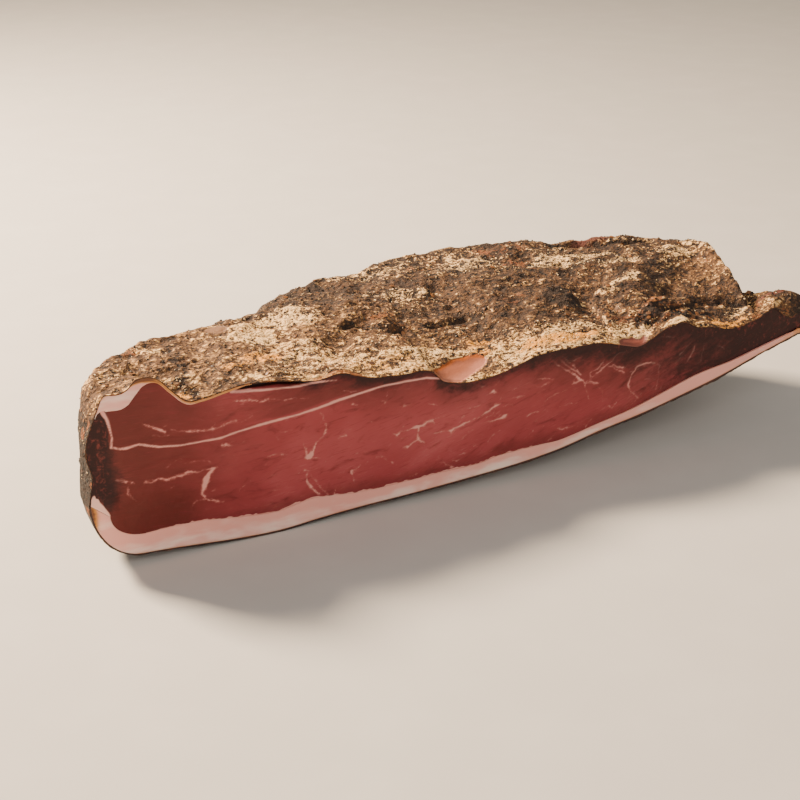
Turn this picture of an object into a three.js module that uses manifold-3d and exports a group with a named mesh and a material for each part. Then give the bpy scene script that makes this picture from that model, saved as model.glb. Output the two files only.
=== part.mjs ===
// Half of a speck ham, cut lengthwise, lying on its rind. Millimetres, +Z up.
// While it is shaped, x runs along the cut face from the blunt end to the thin tip, y runs from the
// cut face to the back, and z is the height above the flat spot of the rind that it lies on.
// The finished group is moved so that its origin is the bottom centre of its box.

import * as THREE from 'three';
import Module from 'manifold-3d';
import { mergeVertices } from 'three/addons/utils/BufferGeometryUtils.js';

const wasm = await Module();
wasm.setup();

// Clearance left between two layers that touch
const LAYER_GAP = 0.3;

// How finely the form is faceted
const STATIONS = 68;
const TOP_ROWS = 19;
const SHOULDER_ROWS = 6;
const HULL_ROWS = 7;
const BELLY_ROWS = 5;

// Where the first and last sections stand on the cut face
const FRONT_LEFT = 22;
const FRONT_RIGHT = 384;

// The rind's curve stops short of the cut face by at least the rest of a section's reach
const HULL_LIMIT = 0.97;

// The crust domes up from the cut face by this power, and the shoulder is boxier than an ellipse
const DOME_POWER = 1.6;
const SHOULDER_POWER = 0.86;

// The plan outline of the half ham, from the cut face round the blunt end, along the curved back
// and round the thin end to the cut face again. Each row gives the place on the outline, then the
// section that ends there: height of the crest, height of the widest line, how far the shoulder
// and the rind's curve reach inwards, and how far the wall leans in at its top.
const OUTLINE = [
  { x: -3, y: 0, crest: 87.5, side: 34, shoulder: 7, hull: 26, lean: 4.5 },
  { x: -2.5, y: 10, crest: 87.5, side: 34, shoulder: 7, hull: 26, lean: 4.5 },
  { x: -1, y: 22, crest: 87, side: 34, shoulder: 8, hull: 27, lean: 4 },
  { x: 4, y: 34, crest: 86.5, side: 34, shoulder: 8, hull: 29, lean: 4 },
  { x: 14, y: 48, crest: 87, side: 34, shoulder: 10, hull: 32, lean: 3 },
  { x: 36, y: 63, crest: 86.5, side: 34, shoulder: 11, hull: 36, lean: 3 },
  { x: 57, y: 71, crest: 83, side: 34, shoulder: 11, hull: 38, lean: 3 },
  { x: 74, y: 76, crest: 84.5, side: 34, shoulder: 12, hull: 40, lean: 3 },
  { x: 101, y: 86, crest: 84, side: 34, shoulder: 14, hull: 44, lean: 3 },
  { x: 131, y: 106, crest: 84, side: 34, shoulder: 15, hull: 46, lean: 3 },
  { x: 161, y: 121, crest: 83.5, side: 34, shoulder: 16, hull: 46, lean: 3 },
  { x: 191, y: 131, crest: 83, side: 35, shoulder: 16, hull: 46, lean: 3 },
  { x: 221, y: 135, crest: 83, side: 37, shoulder: 16, hull: 46, lean: 3 },
  { x: 252, y: 134, crest: 82.5, side: 39, shoulder: 16, hull: 46, lean: 3 },
  { x: 285, y: 131, crest: 81.5, side: 42, shoulder: 16, hull: 44, lean: 3 },
  { x: 315, y: 127, crest: 80.5, side: 46, shoulder: 15, hull: 40, lean: 3 },
  { x: 338, y: 119, crest: 80.5, side: 50, shoulder: 14, hull: 34, lean: 3 },
  { x: 356, y: 105, crest: 81, side: 54, shoulder: 13, hull: 30, lean: 3 },
  { x: 366, y: 88, crest: 82, side: 56, shoulder: 12, hull: 26, lean: 2 },
  { x: 372, y: 70, crest: 84, side: 57, shoulder: 11, hull: 22, lean: 1 },
  { x: 374, y: 60, crest: 77, side: 57, shoulder: 10, hull: 20, lean: 1 },
  { x: 376, y: 50, crest: 66, side: 57, shoulder: 9, hull: 19, lean: 1 },
  { x: 380, y: 33, crest: 65.5, side: 56, shoulder: 8, hull: 17, lean: 0 },
  { x: 387, y: 20, crest: 69, side: 55, shoulder: 6, hull: 14, lean: 0 },
  { x: 395, y: 9, crest: 67, side: 54, shoulder: 5, hull: 11, lean: 0 },
  { x: 400, y: 0, crest: 60, side: 53, shoulder: 4, hull: 9, lean: 0 },
];

// Height of the crust's edge along the cut face: the lobe at the blunt end with the dip behind it,
// the trimmed stretch in the middle, the nick under the crags and the curl near the tip
const TOP_EDGE = curveThrough([
  [0, 80], [8, 88], [15, 89], [24, 92], [32, 90.5], [38, 84.4], [45, 78], [52, 77.2], [61, 77.8],
  [71, 79.7], [88, 79], [102, 76.7], [108, 75.5], [120, 76.5], [135, 72.1], [150, 70.7],
  [167, 69.2], [174, 62], [185, 59.4], [205, 61.1], [229, 66], [262, 66.3], [277, 62.2],
  [287, 60.9], [300, 66], [313, 69.4], [324, 64.8], [349, 61], [360, 62], [371, 66.7],
  [379, 61.2], [388, 57],
]);

// Height of the rind along the cut face, and of the belly a little way behind it. Between 40 and
// 212 the belly is the flat spot that the ham lies on, and no rind is lower than that.
const LOW_EDGE = curveThrough([
  [0, 4], [23, 4], [47, 2.2], [67, 0.6], [87, 0], [108, 1.6], [129, 2.8], [161, 3.8], [190, 5.2],
  [218, 7], [241, 9.9], [265, 15], [290, 19.4], [314, 24.8], [340, 31.5], [365, 40], [389, 47.5],
]);
const BELLY = curveThrough([
  [0, 2], [40, 0], [120, 0], [212, 0], [241, 3], [265, 8.5], [290, 14.5], [314, 21], [340, 29],
  [365, 38], [389, 46.5],
]);
// The belly starts this far behind the cut face
const BELLY_START = 26;

// Thickness of the back fat over the rind, along the ham and up its side
const FAT_THICKNESS = curveThrough([
  [22, 11], [48, 13], [67, 12], [87, 11.2], [104, 12.6], [129, 8.9], [172, 8.3], [195, 7.5],
  [206, 8.9], [229, 7.8], [241, 6.3], [277, 6.2], [301, 8], [326, 9.5], [351, 6.5], [377, 4.5],
  [388, 4],
]);
// Up the side it is thinner, and near the tip it leaves room for the meat
const SIDE_FAT_SHARE = 0.85;
const SIDE_FAT_LIMIT = 0.45;

// Thickness of the cap of fat under the crust of the blunt end, and the plan line it ends at
const CAP_THICKNESS = curveThrough([
  [0, 9.5], [15, 9.1], [22, 8.2], [25, 6], [31, 3.8], [38, 3.6], [50, 3.2], [76, 3],
]);
const CAP_END = 76;
const CAP_BACK = curveThrough([
  [-4, 12], [2, 22], [10, 32], [20, 40], [36, 48], [57, 55], [80, 60],
]);
const CAP_BACK_LEFT = 4;
// The box that the cap's room is cut from: it reaches past the crust and the cut face
const CAP_ROOM = { left: -10, front: -2, top: 100, columns: 16, rows: 9 };

// The crust's own relief. Grooves and steps follow lines on the plan.
const FISSURES = [
  { line: [[142, 45], [149, 46], [157, 40], [164, 36.5], [171, 39]], depth: 2.4, width: 3.2 },
  { line: [[187, 42.5], [198, 43], [210, 46.5], [218, 41.5]], depth: 2, width: 3 },
  { line: [[336, 24], [350, 19], [364, 11]], depth: 3, width: 4 },
  { line: [[299, 112], [318, 104], [338, 94], [352, 90]], depth: 4.5, width: 5 },
  { line: [[297, 8], [312, 15], [326, 19], [338, 17]], depth: 2.6, width: 3.5 },
];
// Ovals are level in the middle, out to this share of their size
const OVAL_CORE = 0.45;
const FLAP_EDGE = {
  line: [[277, 22], [279, 36], [282, 44], [290, 50], [304, 50], [326, 61], [344, 72]],
  height: 3.4,
  width: 3,
  reach: 26,
};
const MOUND = { x: 267, y: 45, along: 13, across: 13, height: 3 };
const CRAGS = { x: 306, y: 14, along: 34, across: 15, height: 3.2, size: 9 };
const FACET = { x: 188, y: 8, along: 20, across: 10, depth: 1.6 };
const LUMPS = [
  { size: 34, height: 3 },
  { size: 15, height: 2 },
  { size: 8, height: 1.2 },
];

const FAT_FINISH = { color: 0xe6cdbd, roughness: 0.42, metalness: 0 };
const LEAN_FINISH = { color: 0x83383a, roughness: 0.46, metalness: 0 };

// A smooth curve through (position, value) knots: cubic pieces, whose slope at a knot is that of
// the chord across it.
function curveThrough(knots) {
  const last = knots.length - 1;
  const slopes = knots.map((knot, i) => {
    const before = knots[Math.max(i - 1, 0)];
    const after = knots[Math.min(i + 1, last)];
    return (after[1] - before[1]) / (after[0] - before[0]);
  });
  return (position) => {
    const p = THREE.MathUtils.clamp(position, knots[0][0], knots[last][0]);
    let i = 0;
    while (i < last - 1 && p >= knots[i + 1][0]) i += 1;
    const span = knots[i + 1][0] - knots[i][0];
    const t = (p - knots[i][0]) / span;
    const u = 1 - t;
    return knots[i][1] * (1 + 2 * t) * u * u + knots[i + 1][1] * t * t * (3 - 2 * t)
      + span * (slopes[i] * t * u * u - slopes[i + 1] * t * t * u);
  };
}

// A fixed value between -1 and 1 for each corner of a lattice of unit cubes
function latticeValue(i, j, k) {
  const s = Math.sin(i * 127.1 + j * 311.7 + k * 74.7) * 43758.5453;
  return 2 * (s - Math.floor(s)) - 1;
}

// Smooth lumps between -1 and 1, as wide as `size`
function lumps(x, y, z, size) {
  const p = [x / size, y / size, z / size];
  const cell = p.map(Math.floor);
  const w = p.map((v, n) => THREE.MathUtils.smoothstep(v - cell[n], 0, 1));
  let sum = 0;
  for (let corner = 0; corner < 8; corner += 1) {
    const on = [corner & 1, (corner >> 1) & 1, (corner >> 2) & 1];
    const share = on.reduce((product, bit, n) => product * (bit ? w[n] : 1 - w[n]), 1);
    sum += share * latticeValue(cell[0] + on[0], cell[1] + on[1], cell[2] + on[2]);
  }
  return sum;
}

// Signed distance on the plan from a point to a line of points, positive on the line's right
function offLine(x, y, line) {
  let best = Infinity;
  let side = 1;
  for (let i = 0; i < line.length - 1; i += 1) {
    const [ax, ay] = line[i];
    const [bx, by] = line[i + 1];
    const along = ((x - ax) * (bx - ax) + (y - ay) * (by - ay)) / ((bx - ax) ** 2 + (by - ay) ** 2);
    const t = THREE.MathUtils.clamp(along, 0, 1);
    const dx = x - ax - t * (bx - ax);
    const dy = y - ay - t * (by - ay);
    const distance = Math.hypot(dx, dy);
    if (distance < best) {
      best = distance;
      side = (bx - ax) * dy - (by - ay) * dx < 0 ? 1 : -1;
    }
  }
  return side * best;
}

// 1 in the middle of an oval on the plan, falling to 0 at its rim
function oval(x, y, shape) {
  const r = Math.hypot((x - shape.x) / shape.along, (y - shape.y) / shape.across);
  return 1 - THREE.MathUtils.smoothstep(r, OVAL_CORE, 1);
}

// How far the crust stands out from its smooth form
function crustRelief(x, y, z, onTop) {
  let height = 0;
  for (const lump of LUMPS) height += lump.height * lumps(x, y, z, lump.size);
  height += CRAGS.height * oval(x, y, CRAGS) * lumps(x, y, z, CRAGS.size);
  const bare = oval(x, y, FACET);
  height = height * (1 - bare) - FACET.depth * bare;
  let plan = MOUND.height * oval(x, y, MOUND);
  for (const fissure of FISSURES) {
    const off = Math.abs(offLine(x, y, fissure.line));
    plan -= fissure.depth * (1 - THREE.MathUtils.smoothstep(off, 0, fissure.width));
  }
  const off = offLine(x, y, FLAP_EDGE.line);
  const raised = THREE.MathUtils.smoothstep(off, 0, FLAP_EDGE.width)
    * (1 - THREE.MathUtils.smoothstep(off, FLAP_EDGE.width, FLAP_EDGE.reach));
  plan += FLAP_EDGE.height * raised;
  return height + plan * onTop;
}

// The outline's columns as smooth curves over the share of its length
function outlineCurves() {
  const along = [0];
  for (let i = 1; i < OUTLINE.length; i += 1) {
    const step = Math.hypot(OUTLINE[i].x - OUTLINE[i - 1].x, OUTLINE[i].y - OUTLINE[i - 1].y);
    along.push(along[i - 1] + step);
  }
  const total = along[along.length - 1];
  const curves = {};
  for (const key of Object.keys(OUTLINE[0])) {
    curves[key] = curveThrough(OUTLINE.map((row, i) => [along[i] / total, row[key]]));
  }
  return curves;
}

const OUTLINE_AT = outlineCurves();

// One upright section: it runs from the cut face at `front` to the plan outline
function sectionAt(share) {
  const row = {};
  for (const key of Object.keys(OUTLINE_AT)) row[key] = OUTLINE_AT[key](share);
  const first = OUTLINE[0].x;
  const last = OUTLINE[OUTLINE.length - 1].x;
  const front = FRONT_LEFT + (FRONT_RIGHT - FRONT_LEFT) * (row.x - first) / (last - first);
  const reach = Math.hypot(row.x - front, row.y);
  const fat = FAT_THICKNESS(front);
  return {
    ...row,
    front,
    reach,
    fat,
    ux: (row.x - front) / reach,
    uy: row.y / reach,
    hull: Math.min(row.hull, reach * HULL_LIMIT),
    sideFat: Math.min(fat * SIDE_FAT_SHARE, row.hull * SIDE_FAT_LIMIT),
    crestStart: reach - row.shoulder - row.lean,
    edge: TOP_EDGE(front),
  };
}

// A point of a section, from its distance to the cut face and its height
function inSection(section, distance, height) {
  return new THREE.Vector3(
    section.front + section.ux * distance,
    section.uy * distance,
    height,
  );
}

// Height of the smooth crust over a section, `share` of the way from the cut face to the crest
function domeHeight(section, share) {
  return section.edge + (section.crest - section.edge) * (1 - (1 - share) ** DOME_POWER);
}

// Height of the rind under a section
function rindHeight(section, distance) {
  const x = section.front + section.ux * distance;
  const y = section.uy * distance;
  const inside = THREE.MathUtils.smoothstep(y, 0, BELLY_START);
  return Math.max(0, LOW_EDGE(x) * (1 - inside) + BELLY(x) * inside);
}

// Moves a point of the crust out by the relief, along `tilt` degrees from upright
function withRelief(section, point, tilt, strength) {
  const angle = THREE.MathUtils.degToRad(tilt);
  const out = strength * crustRelief(point.x, point.y, point.z, Math.cos(angle) ** 2);
  point.x += out * section.ux * Math.sin(angle);
  point.y += out * section.uy * Math.sin(angle);
  point.z += out * Math.cos(angle);
  return point;
}

// The crust of a section, from the cut face over the crest and down to the widest line. Its relief
// is weaker along the cut face, over the first quarter of the way, and dies out at the widest line.
function crustProfile(section) {
  const points = [];
  for (let i = 0; i <= TOP_ROWS; i += 1) {
    const share = i / TOP_ROWS;
    const point = inSection(section, section.crestStart * share, domeHeight(section, share));
    points.push(withRelief(section, point, 0, THREE.MathUtils.lerp(0.35, 1, Math.min(1, 4 * share))));
  }
  const base = section.side + LAYER_GAP;
  for (let i = 1; i <= SHOULDER_ROWS; i += 1) {
    const share = i / SHOULDER_ROWS;
    const turn = (Math.PI / 2) * share;
    const up = Math.cos(turn) ** SHOULDER_POWER;
    const inwards = section.shoulder * (1 - Math.sin(turn) ** SHOULDER_POWER) + section.lean * up;
    const height = base + (section.crest - base) * up;
    const point = inSection(section, section.reach - inwards, height);
    points.push(withRelief(section, point, 90 * share, 1 - 0.8 * share ** 3));
  }
  return points;
}

// The curve from the widest line, at the height `rim`, down to the belly and back to the cut face.
// It runs `inset` above the rind and `sideInset` inside it; with no insets it is the rind itself.
function hullProfile(section, rim, inset, sideInset) {
  const points = [];
  const foot = section.reach - section.hull;
  for (let i = 0; i <= HULL_ROWS; i += 1) {
    const turn = (Math.PI / 2) * (1 - i / HULL_ROWS);
    const distance = foot + (section.hull - sideInset) * Math.sin(turn);
    const low = rindHeight(section, distance) + inset;
    points.push(inSection(section, distance, rim - (rim - low) * Math.cos(turn)));
  }
  for (let i = 1; i <= BELLY_ROWS; i += 1) {
    const distance = foot * (1 - i / BELLY_ROWS);
    points.push(inSection(section, distance, rindHeight(section, distance) + inset));
  }
  return points;
}

// Joins closed rings of points into one closed solid with flat ends, faces out
function loft(rings) {
  const count = rings[0].length;
  const points = rings.flat();
  const triangles = [];
  for (let i = 0; i < rings.length - 1; i += 1) {
    for (let j = 0; j < count; j += 1) {
      const a = i * count + j;
      const b = i * count + ((j + 1) % count);
      triangles.push([a, a + count, b], [b, a + count, b + count]);
    }
  }
  const lastRing = (rings.length - 1) * count;
  for (const [start, ring] of [[0, rings[0]], [lastRing, rings[rings.length - 1]]]) {
    for (const [a, b, c] of flatEnd(ring)) {
      const face = start === 0 ? [a, b, c] : [a, c, b];
      triangles.push(face.map((n) => n + start));
    }
  }
  return toSolid(points, triangles);
}

// Triangles across a ring that lies in the cut face, wound the way the ring runs
function flatEnd(ring) {
  const contour = ring.map((p) => new THREE.Vector2(p.x, p.z));
  const runsLeft = THREE.ShapeUtils.isClockWise(contour);
  return THREE.ShapeUtils.triangulateShape(contour, []).map(([a, b, c]) => {
    const clockwise = THREE.ShapeUtils.isClockWise([contour[a], contour[b], contour[c]]);
    return clockwise === runsLeft ? [a, b, c] : [a, c, b];
  });
}

// A closed solid from points and triangles, turned so that its faces point out
function toSolid(points, triangles) {
  const volume = triangles.reduce((sum, [a, b, c]) => {
    const across = new THREE.Vector3().crossVectors(points[b], points[c]);
    return sum + points[a].dot(across) / 6;
  }, 0);
  const wound = volume > 0 ? triangles : triangles.map(([a, b, c]) => [a, c, b]);
  const geometry = new THREE.BufferGeometry();
  const positions = new Float32Array(points.flatMap((p) => [p.x, p.y, p.z]));
  geometry.setAttribute('position', new THREE.BufferAttribute(positions, 3));
  geometry.setIndex(wound.flat());
  const merged = mergeVertices(geometry, 1e-4);
  const index = merged.index.array;
  const kept = [];
  for (let i = 0; i < index.length; i += 3) {
    const [a, b, c] = index.slice(i, i + 3);
    if (a !== b && b !== c && c !== a) kept.push(a, b, c);
  }
  return new wasm.Manifold(new wasm.Mesh({
    numProp: 3,
    vertProperties: merged.attributes.position.array,
    triVerts: new Uint32Array(kept),
  }));
}

// The back fat with its rind: a bowl under the whole ham, open to the cut face
function backFat(sections) {
  return loft(sections.map((section) => {
    const rind = hullProfile(section, section.side, 0, 0);
    const inner = hullProfile(section, section.side, section.fat, section.sideFat);
    return [...rind, ...inner.reverse()];
  }));
}

// All the meat above the back fat, under one crust
function crustedMeat(sections) {
  return loft(sections.map((section) => {
    const rim = section.side + LAYER_GAP;
    const inner = hullProfile(section, rim, section.fat + LAYER_GAP, section.sideFat + LAYER_GAP);
    return [...crustProfile(section), ...inner];
  }));
}

// Height of the smooth crust over a point of the plan, found by halving the outline
function crustHeight(x, y) {
  let low = 0;
  let high = 1;
  for (let i = 0; i < 40; i += 1) {
    const middle = (low + high) / 2;
    const section = sectionAt(middle);
    if ((x - section.front) * section.uy - y * section.ux > 0) low = middle;
    else high = middle;
  }
  const section = sectionAt(low);
  const distance = Math.hypot(x - section.front, y);
  return domeHeight(section, Math.min(1, distance / section.crestStart));
}

// The room of the fat cap: everything over its underside, grown by `grow` on the hidden sides
function capRoom(grow) {
  const { left, front, top, columns, rows } = CAP_ROOM;
  const floor = [];
  const roof = [];
  for (let i = 0; i <= columns; i += 1) {
    const x = left + ((CAP_END + grow - left) * i) / columns;
    const back = CAP_BACK(x) + grow;
    for (let j = 0; j <= rows; j += 1) {
      const y = front + ((back - front) * j) / rows;
      const crust = crustHeight(Math.max(x, CAP_BACK_LEFT), Math.max(y, 0));
      floor.push(new THREE.Vector3(x, y, crust - CAP_THICKNESS(x) - grow));
      roof.push(new THREE.Vector3(x, y, top));
    }
  }
  const low = (i, j) => i * (rows + 1) + j;
  const high = (i, j) => low(i, j) + floor.length;
  const triangles = [];
  for (let i = 0; i < columns; i += 1) {
    for (let j = 0; j < rows; j += 1) {
      triangles.push([low(i, j), low(i, j + 1), low(i + 1, j)]);
      triangles.push([low(i + 1, j), low(i, j + 1), low(i + 1, j + 1)]);
      triangles.push([high(i, j), high(i + 1, j), high(i, j + 1)]);
      triangles.push([high(i + 1, j), high(i + 1, j + 1), high(i, j + 1)]);
    }
  }
  const rim = [];
  for (let i = 0; i < columns; i += 1) rim.push([i, 0]);
  for (let j = 0; j < rows; j += 1) rim.push([columns, j]);
  for (let i = columns; i > 0; i -= 1) rim.push([i, rows]);
  for (let j = rows; j > 0; j -= 1) rim.push([0, j]);
  rim.forEach((from, n) => {
    const to = rim[(n + 1) % rim.length];
    triangles.push([low(...from), low(...to), high(...to)]);
    triangles.push([low(...from), high(...to), high(...from)]);
  });
  return toSolid([...floor, ...roof], triangles);
}

// A named mesh of a solid
function meshOf(name, solid, finish) {
  const { vertProperties, triVerts } = solid.getMesh();
  const geometry = new THREE.BufferGeometry();
  geometry.setAttribute('position', new THREE.BufferAttribute(vertProperties, 3));
  geometry.setIndex(new THREE.BufferAttribute(triVerts, 1));
  geometry.computeVertexNormals();
  const mesh = new THREE.Mesh(geometry, new THREE.MeshStandardMaterial(finish));
  mesh.name = name;
  return mesh;
}

const sections = [];
for (let i = 0; i <= STATIONS; i += 1) sections.push(sectionAt(i / STATIONS));

const meat = crustedMeat(sections);
const ham = new THREE.Group();
ham.add(meshOf('back_fat', backFat(sections), FAT_FINISH));
ham.add(meshOf('lean_meat', meat.subtract(capRoom(LAYER_GAP)), LEAN_FINISH));
ham.add(meshOf('cap_fat', meat.intersect(capRoom(0)), FAT_FINISH));

const box = new THREE.Box3().setFromObject(ham);
const centre = box.getCenter(new THREE.Vector3());
ham.position.set(-centre.x, -centre.y, -box.min.z);

export default ham;
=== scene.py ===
"""Looks of half a speck ham, cut lengthwise and lying on its rind.

The ham's form is worked out in millimetres in its own directions: x runs along the cut from the
blunt end to the thin tip, y from the cut face to the curved back, and z up from the flat spot of
the rind. HamForm.to_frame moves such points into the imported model's frame, in metres.
"""

import logging
import math
from dataclasses import dataclass, field
from enum import Enum

import bmesh
import bpy
import numpy as np
from mathutils import Euler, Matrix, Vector


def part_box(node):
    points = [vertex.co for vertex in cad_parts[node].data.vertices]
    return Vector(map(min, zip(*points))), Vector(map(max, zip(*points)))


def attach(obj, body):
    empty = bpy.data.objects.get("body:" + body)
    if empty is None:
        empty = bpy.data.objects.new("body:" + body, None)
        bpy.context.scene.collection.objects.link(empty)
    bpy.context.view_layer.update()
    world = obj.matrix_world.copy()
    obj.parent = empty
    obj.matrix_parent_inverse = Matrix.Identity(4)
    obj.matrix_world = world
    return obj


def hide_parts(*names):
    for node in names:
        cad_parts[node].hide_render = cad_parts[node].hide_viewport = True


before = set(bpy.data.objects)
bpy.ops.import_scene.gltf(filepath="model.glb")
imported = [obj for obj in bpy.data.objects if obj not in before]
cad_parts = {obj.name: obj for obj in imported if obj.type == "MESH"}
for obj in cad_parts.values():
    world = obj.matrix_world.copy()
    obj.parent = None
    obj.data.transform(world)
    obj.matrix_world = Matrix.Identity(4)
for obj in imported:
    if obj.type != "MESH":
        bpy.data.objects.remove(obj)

Array = np.ndarray
Line = tuple[tuple[float, ...], ...]
Triple = tuple[float, float, float]
Piece = bpy.types.Object
Material = bpy.types.Material
Node = bpy.types.Node
Socket = bpy.types.NodeSocket
Tree = bpy.types.NodeTree
# Low end, high end, weights by name and hex colour
Coat = tuple[float, float, dict[str, float], str]

log = logging.getLogger("speck ham")

MM = 0.001
BODY = "root"
# Gap between the solids that touch, and the narrower one that scene.py leaves round the meat
LAYER_GAP = 0.3
CONTACT = 0.06


class Slot(Enum):
    """Material slots: lean and fat."""

    LEAN = "lean"
    FAT = "fat"


# Curves and noise


def smooth(value: Array, low: float, high: float) -> Array:
    """0 below low, 1 above high, and t * t * (3 - 2 t) between them."""
    t = np.clip((value - low) / (high - low), 0.0, 1.0)
    return t * t * (3 - 2 * t)


def fade(value: Array, low: float, high: float) -> Array:
    """1 below low, 0 above high, and smooth between them."""
    return 1 - smooth(value, low, high)


@dataclass(frozen=True)
class Curve:
    """A smooth curve through (position, value) knots.

    Each piece is a cubic whose slope at a knot is that of the chord across the knot.
    """

    knots: Line

    def __call__(self, position: Array) -> Array:
        """Value of the curve.

        Args:
            position: where it is read; beyond the ends the last value holds.

        Returns:
            An array of the shape of position.
        """
        at, value = np.array(self.knots, float).T
        last = len(at) - 1
        before = np.maximum(np.arange(last + 1) - 1, 0)
        after = np.minimum(np.arange(last + 1) + 1, last)
        slope = (value[after] - value[before]) / (at[after] - at[before])
        p = np.clip(position, at[0], at[-1])
        i = np.clip(np.searchsorted(at, p, side="right") - 1, 0, last - 1)
        span = at[i + 1] - at[i]
        t = (p - at[i]) / span
        u = 1 - t
        ends = value[i] * (1 + 2 * t) * u * u + value[i + 1] * t * t * (3 - 2 * t)
        return ends + span * (slope[i] * t * u * u - slope[i + 1] * t * t * u)


# Large, uneven numbers: they turn each point of a lattice into a value with no visible order
SCATTER = (127.1, 311.7, 74.7)
SCATTER_GAIN = 43758.5453


def lumps(p: Array, size: float | Triple) -> Array:
    """Smooth lumps between -1 and 1: fixed values on a lattice, blended across each cell.

    A lattice point's value is what follows the decimal point of gain * sin(x a + y b + z c).

    Args:
        p: points, with x, y and z along the last axis.
        size: width of a cell, or its widths along x, y and z.

    Returns:
        One value for each point.
    """
    q = p / np.broadcast_to(np.array(size, float), 3)
    cell = np.floor(q)
    w = smooth(q - cell, 0.0, 1.0)
    total = np.zeros(p.shape[:-1])
    for corner in range(8):
        on = np.array([corner & 1, (corner >> 1) & 1, (corner >> 2) & 1], float)
        c = cell + on
        turn = c[..., 0] * SCATTER[0] + c[..., 1] * SCATTER[1] + c[..., 2] * SCATTER[2]
        s = np.sin(turn) * SCATTER_GAIN
        share = np.prod(np.where(on > 0, w, 1 - w), axis=-1)
        total += share * (2 * (s - np.floor(s)) - 1)
    return total


def ridges(p: Array, size: float | Triple) -> Array:
    """Sharp crests where the lumps pass through zero: 1 - 3 |lumps|, held above -1."""
    return np.maximum(1 - 3 * np.abs(lumps(p, size)), -1.0)


def off_line(x: Array, y: Array, line: Line) -> Array:
    """Signed distance in a plane from points to a line of points, positive on its right.

    Args:
        x: first coordinate of the points.
        y: second coordinate of the points.
        line: the points that the line runs through.

    Returns:
        The distance to the nearest piece of the line, for each point.
    """
    best = np.full(np.broadcast(x, y).shape, np.inf)
    side = np.ones_like(best)
    for (ax, ay), (bx, by) in zip(line[:-1], line[1:]):
        along = ((x - ax) * (bx - ax) + (y - ay) * (by - ay)) / ((bx - ax) ** 2 + (by - ay) ** 2)
        t = np.clip(along, 0, 1)
        dx = x - ax - t * (bx - ax)
        dy = y - ay - t * (by - ay)
        distance = np.hypot(dx, dy)
        nearer = distance < best
        best = np.where(nearer, distance, best)
        side = np.where(nearer, np.where((bx - ax) * dy - (by - ay) * dx < 0, 1.0, -1.0), side)
    return side * best


@dataclass(frozen=True)
class Oval:
    """An oval on the plan: 1 in the middle, out to `core` of its size, falling to 0 at its rim."""

    x: float
    y: float
    along: float
    across: float
    strength: float = 1.0
    core: float = 0.45

    def __call__(self, p: Array) -> Array:
        """Strength of the oval at points of the ham."""
        r = np.hypot((p[..., 0] - self.x) / self.along, (p[..., 1] - self.y) / self.across)
        return self.strength * fade(r, self.core, 1.0)


@dataclass(frozen=True)
class Band:
    """A band along a line on the plan: 1 on the line, falling to 0 at its width."""

    line: Line
    width: float
    strength: float = 1.0

    def __call__(self, p: Array) -> Array:
        """Strength of the band at points of the ham."""
        off = np.abs(off_line(p[..., 0], p[..., 1], self.line))
        return self.strength * fade(off, 0.25 * self.width, self.width)


def most(p: Array, zones: tuple[Oval | Band, ...]) -> Array:
    """The strongest of several zones at each point."""
    return np.max([zone(p) for zone in zones], axis=0)


# The ham's form, the same as that of its solids

# Plan outline from the cut face round the blunt end, along the back and round the tip. Columns:
# place, height of the crest and of the widest line, reach of the shoulder and of the rind's curve,
# and how far the wall leans in.
OUTLINE = np.array([
    (-3, 0, 87.5, 34, 7, 26, 4.5),
    (-2.5, 10, 87.5, 34, 7, 26, 4.5),
    (-1, 22, 87, 34, 8, 27, 4),
    (4, 34, 86.5, 34, 8, 29, 4),
    (14, 48, 87, 34, 10, 32, 3),
    (36, 63, 86.5, 34, 11, 36, 3),
    (57, 71, 83, 34, 11, 38, 3),
    (74, 76, 84.5, 34, 12, 40, 3),
    (101, 86, 84, 34, 14, 44, 3),
    (131, 106, 84, 34, 15, 46, 3),
    (161, 121, 83.5, 34, 16, 46, 3),
    (191, 131, 83, 35, 16, 46, 3),
    (221, 135, 83, 37, 16, 46, 3),
    (252, 134, 82.5, 39, 16, 46, 3),
    (285, 131, 81.5, 42, 16, 44, 3),
    (315, 127, 80.5, 46, 15, 40, 3),
    (338, 119, 80.5, 50, 14, 34, 3),
    (356, 105, 81, 54, 13, 30, 3),
    (366, 88, 82, 56, 12, 26, 2),
    (372, 70, 84, 57, 11, 22, 1),
    (374, 60, 77, 57, 10, 20, 1),
    (376, 50, 66, 57, 9, 19, 1),
    (380, 33, 65.5, 56, 8, 17, 0),
    (387, 20, 69, 55, 6, 14, 0),
    (395, 9, 67, 54, 5, 11, 0),
    (400, 0, 60, 53, 4, 9, 0),
], float)

FRONT_LEFT = 22.0
FRONT_RIGHT = 384.0
HULL_LIMIT = 0.97
DOME_POWER = 1.6
SHOULDER_POWER = 0.86

TOP_EDGE = Curve((
    (0, 80), (8, 88), (15, 89), (24, 92), (32, 90.5), (38, 84.4), (45, 78), (52, 77.2), (61, 77.8),
    (71, 79.7), (88, 79), (102, 76.7), (108, 75.5), (120, 76.5), (135, 72.1), (150, 70.7),
    (167, 69.2), (174, 62), (185, 59.4), (205, 61.1), (229, 66), (262, 66.3), (277, 62.2),
    (287, 60.9), (300, 66), (313, 69.4), (324, 64.8), (349, 61), (360, 62), (371, 66.7),
    (379, 61.2), (388, 57),
))
LOW_EDGE = Curve((
    (0, 4), (23, 4), (47, 2.2), (67, 0.6), (87, 0), (108, 1.6), (129, 2.8), (161, 3.8), (190, 5.2),
    (218, 7), (241, 9.9), (265, 15), (290, 19.4), (314, 24.8), (340, 31.5), (365, 40), (389, 47.5),
))
BELLY = Curve((
    (0, 2), (40, 0), (120, 0), (212, 0), (241, 3), (265, 8.5), (290, 14.5), (314, 21), (340, 29),
    (365, 38), (389, 46.5),
))
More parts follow.
